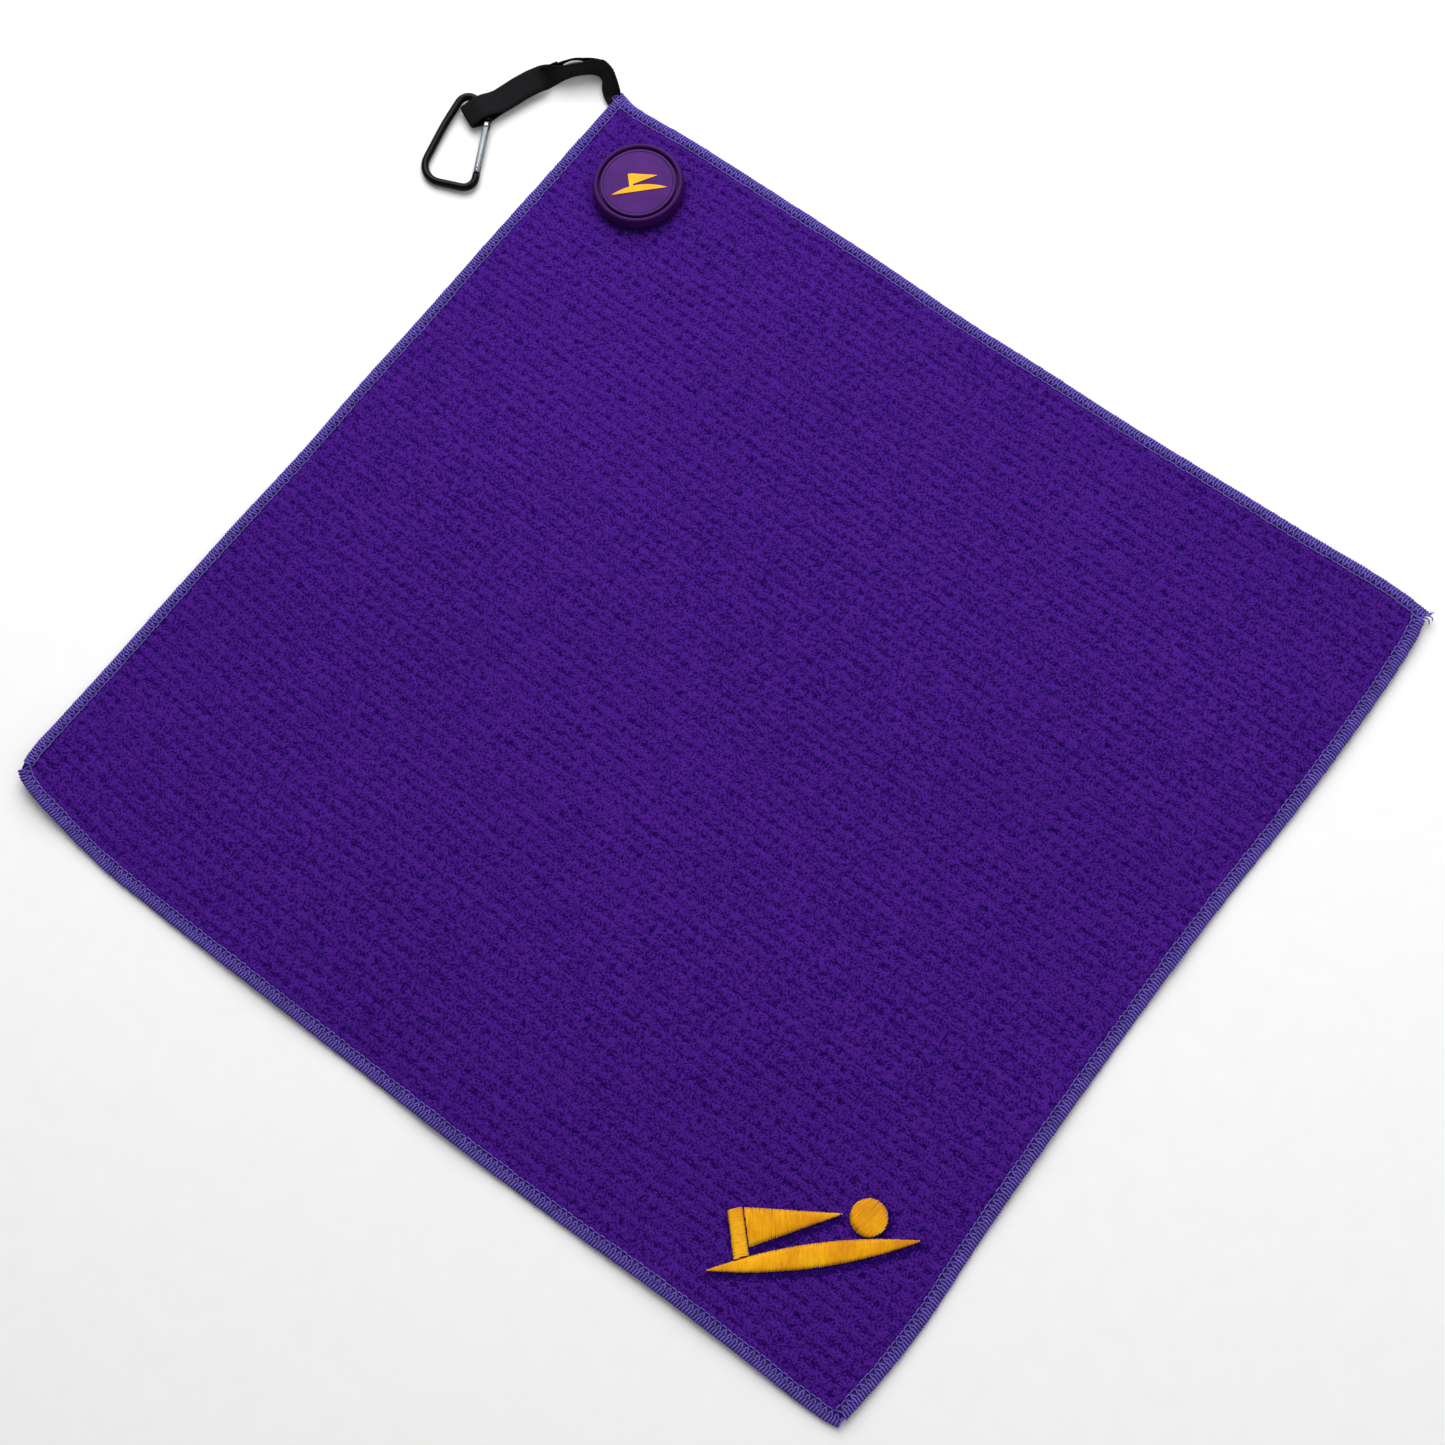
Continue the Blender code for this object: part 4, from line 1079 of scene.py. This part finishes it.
# ---- the ball marker and its holder ---------------------------------------------------
def make_marker(settings):
    colours = settings.colours
    holder_tint, enamel_tint = tuple(colours.holder), tuple(colours.enamel)
    rubber = coated_material("holder_rubber", holder_tint, 0.42, 0.56, 0.10, 1500, 0.05)
    enamel = coated_material("marker_enamel_face", enamel_tint, 0.45, 0.58, 0.05, 2600, 0.04)
    steel = coated_material("marker_paint", scaled(enamel_tint, 0.75), 0.40, 0.52, 0.08, 1200)
    gold = coated_material("gold_enamel", tuple(colours.gold), 0.4, 0.5, 0.15, 2400, 0.03)
    rivet_look = metal_material("holder_rivet_steel", (0.6, 0.6, 0.62), 0.25, 0.38)
    magnet_look = metal_material("magnet_plating", (0.55, 0.54, 0.52), 0.16, 0.28)
    plastic_tint = (0.012, 0.011, 0.014)
    plastic = coated_material("back_plate_plastic", plastic_tint, 0.42, 0.6, grain=1800, depth=0.05)
    low, high = marker_low.z, marker_high.z
    low_mm, seat = low / mm, (low - seat_gap) / mm
    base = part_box("marker_holder")[0].z / mm
    crest = []
    for degrees in range(0, 181, 15):
        a = math.radians(degrees)
        level = (high + seat_gap) / mm - rim_radius * (1 - math.sin(a))
        crest.append((rim_middle - rim_radius * math.cos(a), level))
    outline = (
        (magnet_bore, seat), (well, seat), *crest, (19.5, low_mm), (19.78, low_mm - 1.3),
        (19.75, base + 1.9), (19.35, base + 0.7), (18.8, base), (rivet_bore, base),
        (rivet_bore, base + 1.0), (rivet_bore, seat - magnet_pocket),
        (magnet_bore, seat - magnet_pocket),
    )
    cup = [(r * mm, z * mm) for r, z in outline]
    holder = lathe("marker_cup", cup, marker_place, rubber, closed=True)
    recess = high - recess_depth
    coin = [
        (0, recess), (recess_radius, recess), (recess_radius, high), (coin_radius, high),
        (coin_radius, low), (0, low),
    ]
    disc = lathe("marker_coin", rounded(coin, 0.22 * mm), marker_place, steel)
    bottom, top = (corner.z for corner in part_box("marker_enamel"))
    face_outline = [(0, top), (enamel_radius, top), (enamel_radius, bottom), (0, bottom)]
    face = lathe("marker_face", rounded(face_outline, 0.15 * mm), marker_place, enamel)
    motif = refined("marker_motif", "marker_flag", gold, 30)
    magnet = refined("holder_magnet", "cup_magnet", magnet_look)
    rivet = refined("holder_rivet", "cup_rivet", rivet_look)
    plate = refined("holder_back_plate", "cup_back_plate", plastic)
    for piece, source, body, slot in (
        (holder, "marker_holder", "towel", "holder_rubber"),
        (disc, "marker_disc", "marker", "marker_steel"),
        (face, "marker_enamel", "marker", "enamel"),
        (motif, "marker_motif", "marker", "gold_enamel"),
        (magnet, "holder_magnet", "towel", "magnet_plating"),
        (rivet, "holder_rivet", "towel", "rivet_steel"),
        (plate, "holder_back_plate", "towel", "back_plastic"),
    ):
        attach(piece, body)
        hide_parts(source)


# ---- the embroidered emblem -----------------------------------------------------------
def emblem_outlines():
    """The emblem's four blocks: name, outline in millimetres, and the angle of its stitches."""
    level = emblem_foot + ground_rise

    def ground(x):
        return level + ground_rise * (1 - (x / ground_half) ** 2)

    upper = [(x, ground(x)) for x in np.linspace(-ground_half, ground_half, 33)]
    lower = [(x, 2 * level - y) for x, y in reversed(upper[1:-1])]
    left, right = pole_sides
    pole = [(left, ground(left) + block_gap), (right, ground(right) + block_gap)]
    pole += [(right, emblem_top), (left, emblem_top)]
    root = right + block_gap
    pennant = [
        (root, emblem_top - pennant_depth),
        (root + pennant_length, emblem_top - pennant_depth / 2),
        (root, emblem_top),
    ]
    middle = ground(ball_along) + block_gap + ball_radius + block_gap / 2
    ball = []
    for degrees in range(0, 360, 10):
        a = math.radians(degrees)
        ball.append((ball_along + ball_radius * math.cos(a), middle + ball_radius * math.sin(a)))
    return (
        ("green", upper + lower, 78),
        ("pole", pole, 4),
        ("pennant", pennant, 84),
        ("ball", ball, 38),
    )


def stitch_rows(outline, angle, spacing, rng):
    """Where straight stitches at that angle cross an outline: their middles and lengths."""
    turn = math.radians(angle)
    along = np.array([math.cos(turn), math.sin(turn)])
    off = np.array([-along[1], along[0]])
    corners = np.array(outline)
    u, v = corners @ along, corners @ off
    made = []
    for row in np.arange(v.min() + spacing * 0.4, v.max(), spacing):
        crossings = []
        for i in range(len(u)):
            j = (i + 1) % len(u)
            if (v[i] - row) * (v[j] - row) < 0:
                crossings.append(u[i] + (u[j] - u[i]) * (row - v[i]) / (v[j] - v[i]))
        crossings.sort()
        for start, end in zip(crossings[::2], crossings[1::2]):
            start -= 0.25 * rng.random()
            end += 0.25 * rng.random()
            if end - start > 0.5:
                made.append((along * (start + end) / 2 + off * row, end - start))
    return made


def satin_mesh(crown, radius):
    """One satin stitch of unit length along X, arched, its ends turned down."""
    path, radii = [], []
    for i in range(9):
        t = -1 + i / 4
        path.append((t / 2, 0, crown * (1 - t * t) ** 0.5 if abs(t) < 1 else -0.3 * crown))
        radii.append(radius * (1 - 0.45 * abs(t) ** 6))
    points, sides = [], 6
    for (x, _, z), r in zip(path, radii):
        points += [(x, r * cos, z + 0.8 * r * sin) for cos, sin in circle(sides)]
    return mesh_from("satin_stitch", points, sweep_faces(len(path), sides))


def satin_tree():
    inputs = {"Stitch": "Object", "Thread": "Material"}
    tree, given, result = new_tree("Satin stitches", inputs)
    stitch = node(tree, "GeometryNodeObjectInfo", {"Object": given.outputs["Stitch"]})
    span = node(tree, "GeometryNodeInputNamedAttribute", {"Name": "span"}, data_type="FLOAT_VECTOR")
    turn = node(tree, "GeometryNodeInputNamedAttribute", {"Name": "turn"}, data_type="FLOAT_VECTOR")
    rotation = node(tree, "FunctionNodeEulerToRotation", {0: turn.outputs[0]})
    placed = node(
        tree,
        "GeometryNodeInstanceOnPoints",
        {
            "Points": given.outputs["Geometry"],
            "Instance": stitch.outputs["Geometry"],
            "Rotation": rotation.outputs[0],
            "Scale": span.outputs[0],
        },
    )
    tree.links.new(threaded(tree, given, placed), result.inputs[0])
    return tree


def make_emblem(settings):
    rng = np.random.default_rng(settings.sizes.seed)
    tree = satin_tree()
    stitch = add_object("satin", satin_mesh(stitch_crown, stitch_radius))
    spacing = settings.sizes.thread_spacing / mm
    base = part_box("emblem_green")[0].z + 0.12 * mm
    for name, outline, angle in emblem_outlines():
        heading = math.radians(45 + angle)
        gold = gold_thread_material(f"gold_thread_{name}", tuple(settings.colours.gold), heading)
        places, spans, turns = [], [], []
        for (x, y), long in stitch_rows(outline, angle, spacing, rng):
            dx, dy = (x - y) * diagonal * mm, (x + y) * diagonal * mm
            places.append((emblem_place.x + dx, emblem_place.y + dy, base))
            rise = 0.7 + 0.3 * min(1, long / 4)
            spans.append((long * mm, 1.0, rise * rng.uniform(0.92, 1.08)))
            turns.append((0, 0, heading + rng.uniform(-0.02, 0.02)))
        mesh = bpy.data.meshes.new("rows")
        mesh.from_pydata(places, [], [])
        for label, values in (("span", spans), ("turn", turns)):
            attribute = mesh.attributes.new(label, "FLOAT_VECTOR", "POINT")
            attribute.data.foreach_set("vector", np.array(values, np.float32).ravel())
        source = add_object("rows", mesh)
        modifier = source.modifiers.new("stitches", "NODES")
        modifier.node_group = tree
        set_inputs(modifier, {"Stitch": stitch, "Thread": gold})
        block = plain_mesh(source, f"satin_{name}")
        block.data.shade_smooth()
        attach(block, "towel")
        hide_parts(f"emblem_{name}")
    bpy.data.objects.remove(stitch)
    dark = (0.05, 0.012, 0.16)
    lining = coated_material("emblem_lining", dark, 0.7, 0.9, grain=2400, depth=0.1)
    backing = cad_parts["emblem_backing"].data.materials
    backing.clear()
    backing.append(lining)


# ---- stage ----------------------------------------------------------------------------
def area_light(name, place, target, size, power):
    data = bpy.data.lights.new(name, "AREA")
    data.shape = "DISK"
    data.size = size
    data.energy = power
    made = linked(name, data)
    made.location = place
    made.rotation_euler = (Vector(target) - Vector(place)).to_track_quat("-Z", "Y").to_euler()


def make_table():
    mesh = bpy.data.meshes.new("table")
    far = table_reach
    corners = [(-far, -far, 0), (far, -far, 0), (far, far, 0), (-far, far, 0)]
    mesh.from_pydata(corners, [], [range(4)])
    paper, tree, shader = new_material(
        "pale_table", (0.90, 0.90, 0.895), Roughness=0.9, Specular_IOR_Level=0.1
    )
    grain = noise(tree, object_place(tree), 90, 3, 0.6)
    tone = ramp(tree, grain, [(0.3, (0.885, 0.885, 0.88)), (0.7, (0.905, 0.905, 0.90))])
    feed(tree, shader, Base_Color=tone, Normal=bump(tree, grain, 0.02 * mm, 0.2))
    table = add_object("table", mesh, paper)


def make_camera():
    camera = bpy.data.cameras.new("camera")
    camera.lens = camera_lens
    camera.sensor_width = 36.0
    camera.clip_start = 0.01
    right = camera_view.cross(camera_up).normalized()
    up = right.cross(camera_view)
    turned = Matrix((right, up, -camera_view)).transposed().to_4x4()
    made = linked("camera", camera)
    made.matrix_world = Matrix.Translation(camera_place) @ turned
    bpy.context.scene.camera = made


def make_stage(settings):
    scene = bpy.context.scene
    scene.view_settings.view_transform = "Standard"
    scene.view_settings.look = "None"
    make_table()
    scene.world = bpy.data.worlds.new("soft_white")
    scene.world.use_nodes = True
    background = scene.world.node_tree.nodes["Background"]
    background.inputs["Color"].default_value = (1.0, 1.0, 1.0, 1.0)
    background.inputs["Strength"].default_value = sky_strength
    for light in lights:
        area_light(*light)
    make_camera()


# ---- operators and panel --------------------------------------------------------------
class BuildStep:
    """A button that builds one piece or group."""

    def execute(self, context):
        self.build(context.scene.golf_towel)
        return {"FINISHED"}


class TOWEL_OT_cloth(BuildStep, bpy.types.Operator):
    """Build the waffle cloth"""

    bl_idname = "golf_towel.cloth"
    bl_label = "Waffle cloth"
    build = staticmethod(make_cloth)


class TOWEL_OT_edging(BuildStep, bpy.types.Operator):
    """Sew the four overlocked edges"""

    bl_idname = "golf_towel.edging"
    bl_label = "Overlocked edges"
    build = staticmethod(make_edging)


class TOWEL_OT_loop(BuildStep, bpy.types.Operator):
    """Build the webbing hanging loop"""

    bl_idname = "golf_towel.loop"
    bl_label = "Hanging loop"
    build = staticmethod(make_loop)


class TOWEL_OT_carabiner(BuildStep, bpy.types.Operator):
    """Build the carabiner with its gate"""

    bl_idname = "golf_towel.carabiner"
    bl_label = "Carabiner"
    build = staticmethod(make_carabiner)


class TOWEL_OT_marker(BuildStep, bpy.types.Operator):
    """Build the ball marker and its holder"""

    bl_idname = "golf_towel.marker"
    bl_label = "Ball marker"
    build = staticmethod(make_marker)


class TOWEL_OT_emblem(BuildStep, bpy.types.Operator):
    """Embroider the emblem"""

    bl_idname = "golf_towel.emblem"
    bl_label = "Emblem"
    build = staticmethod(make_emblem)


class TOWEL_OT_stage(BuildStep, bpy.types.Operator):
    """Set up the table, lights and camera"""

    bl_idname = "golf_towel.stage"
    bl_label = "Table, lights and camera"
    build = staticmethod(make_stage)


class TOWEL_PT_panel(bpy.types.Panel):
    """The towel's pieces, sizes and colours"""

    bl_idname = "TOWEL_PT_panel"
    bl_label = "Golf towel"
    bl_space_type = "VIEW_3D"
    bl_region_type = "UI"
    bl_category = "Towel"

    def draw(self, context):
        settings = context.scene.golf_towel
        for group in (settings.sizes, settings.colours):
            box = self.layout.box()
            for name in group.__annotations__:
                box.prop(group, name)
        for operator in operators:
            self.layout.operator(operator.bl_idname)


operators = (
    TOWEL_OT_stage,
    TOWEL_OT_cloth,
    TOWEL_OT_edging,
    TOWEL_OT_loop,
    TOWEL_OT_carabiner,
    TOWEL_OT_marker,
    TOWEL_OT_emblem,
)
classes = (TowelSizes, TowelColours, TowelSettings, *operators, TOWEL_PT_panel)


def register():
    for made in classes:
        bpy.utils.register_class(made)
    bpy.types.Scene.golf_towel = PointerProperty(type=TowelSettings)


def unregister():
    del bpy.types.Scene.golf_towel
    for made in reversed(classes):
        bpy.utils.unregister_class(made)


def main():
    register()
    for operator in operators:
        getattr(bpy.ops.golf_towel, operator.bl_idname.split(".")[1])()


if __name__ == "__main__":
    main()
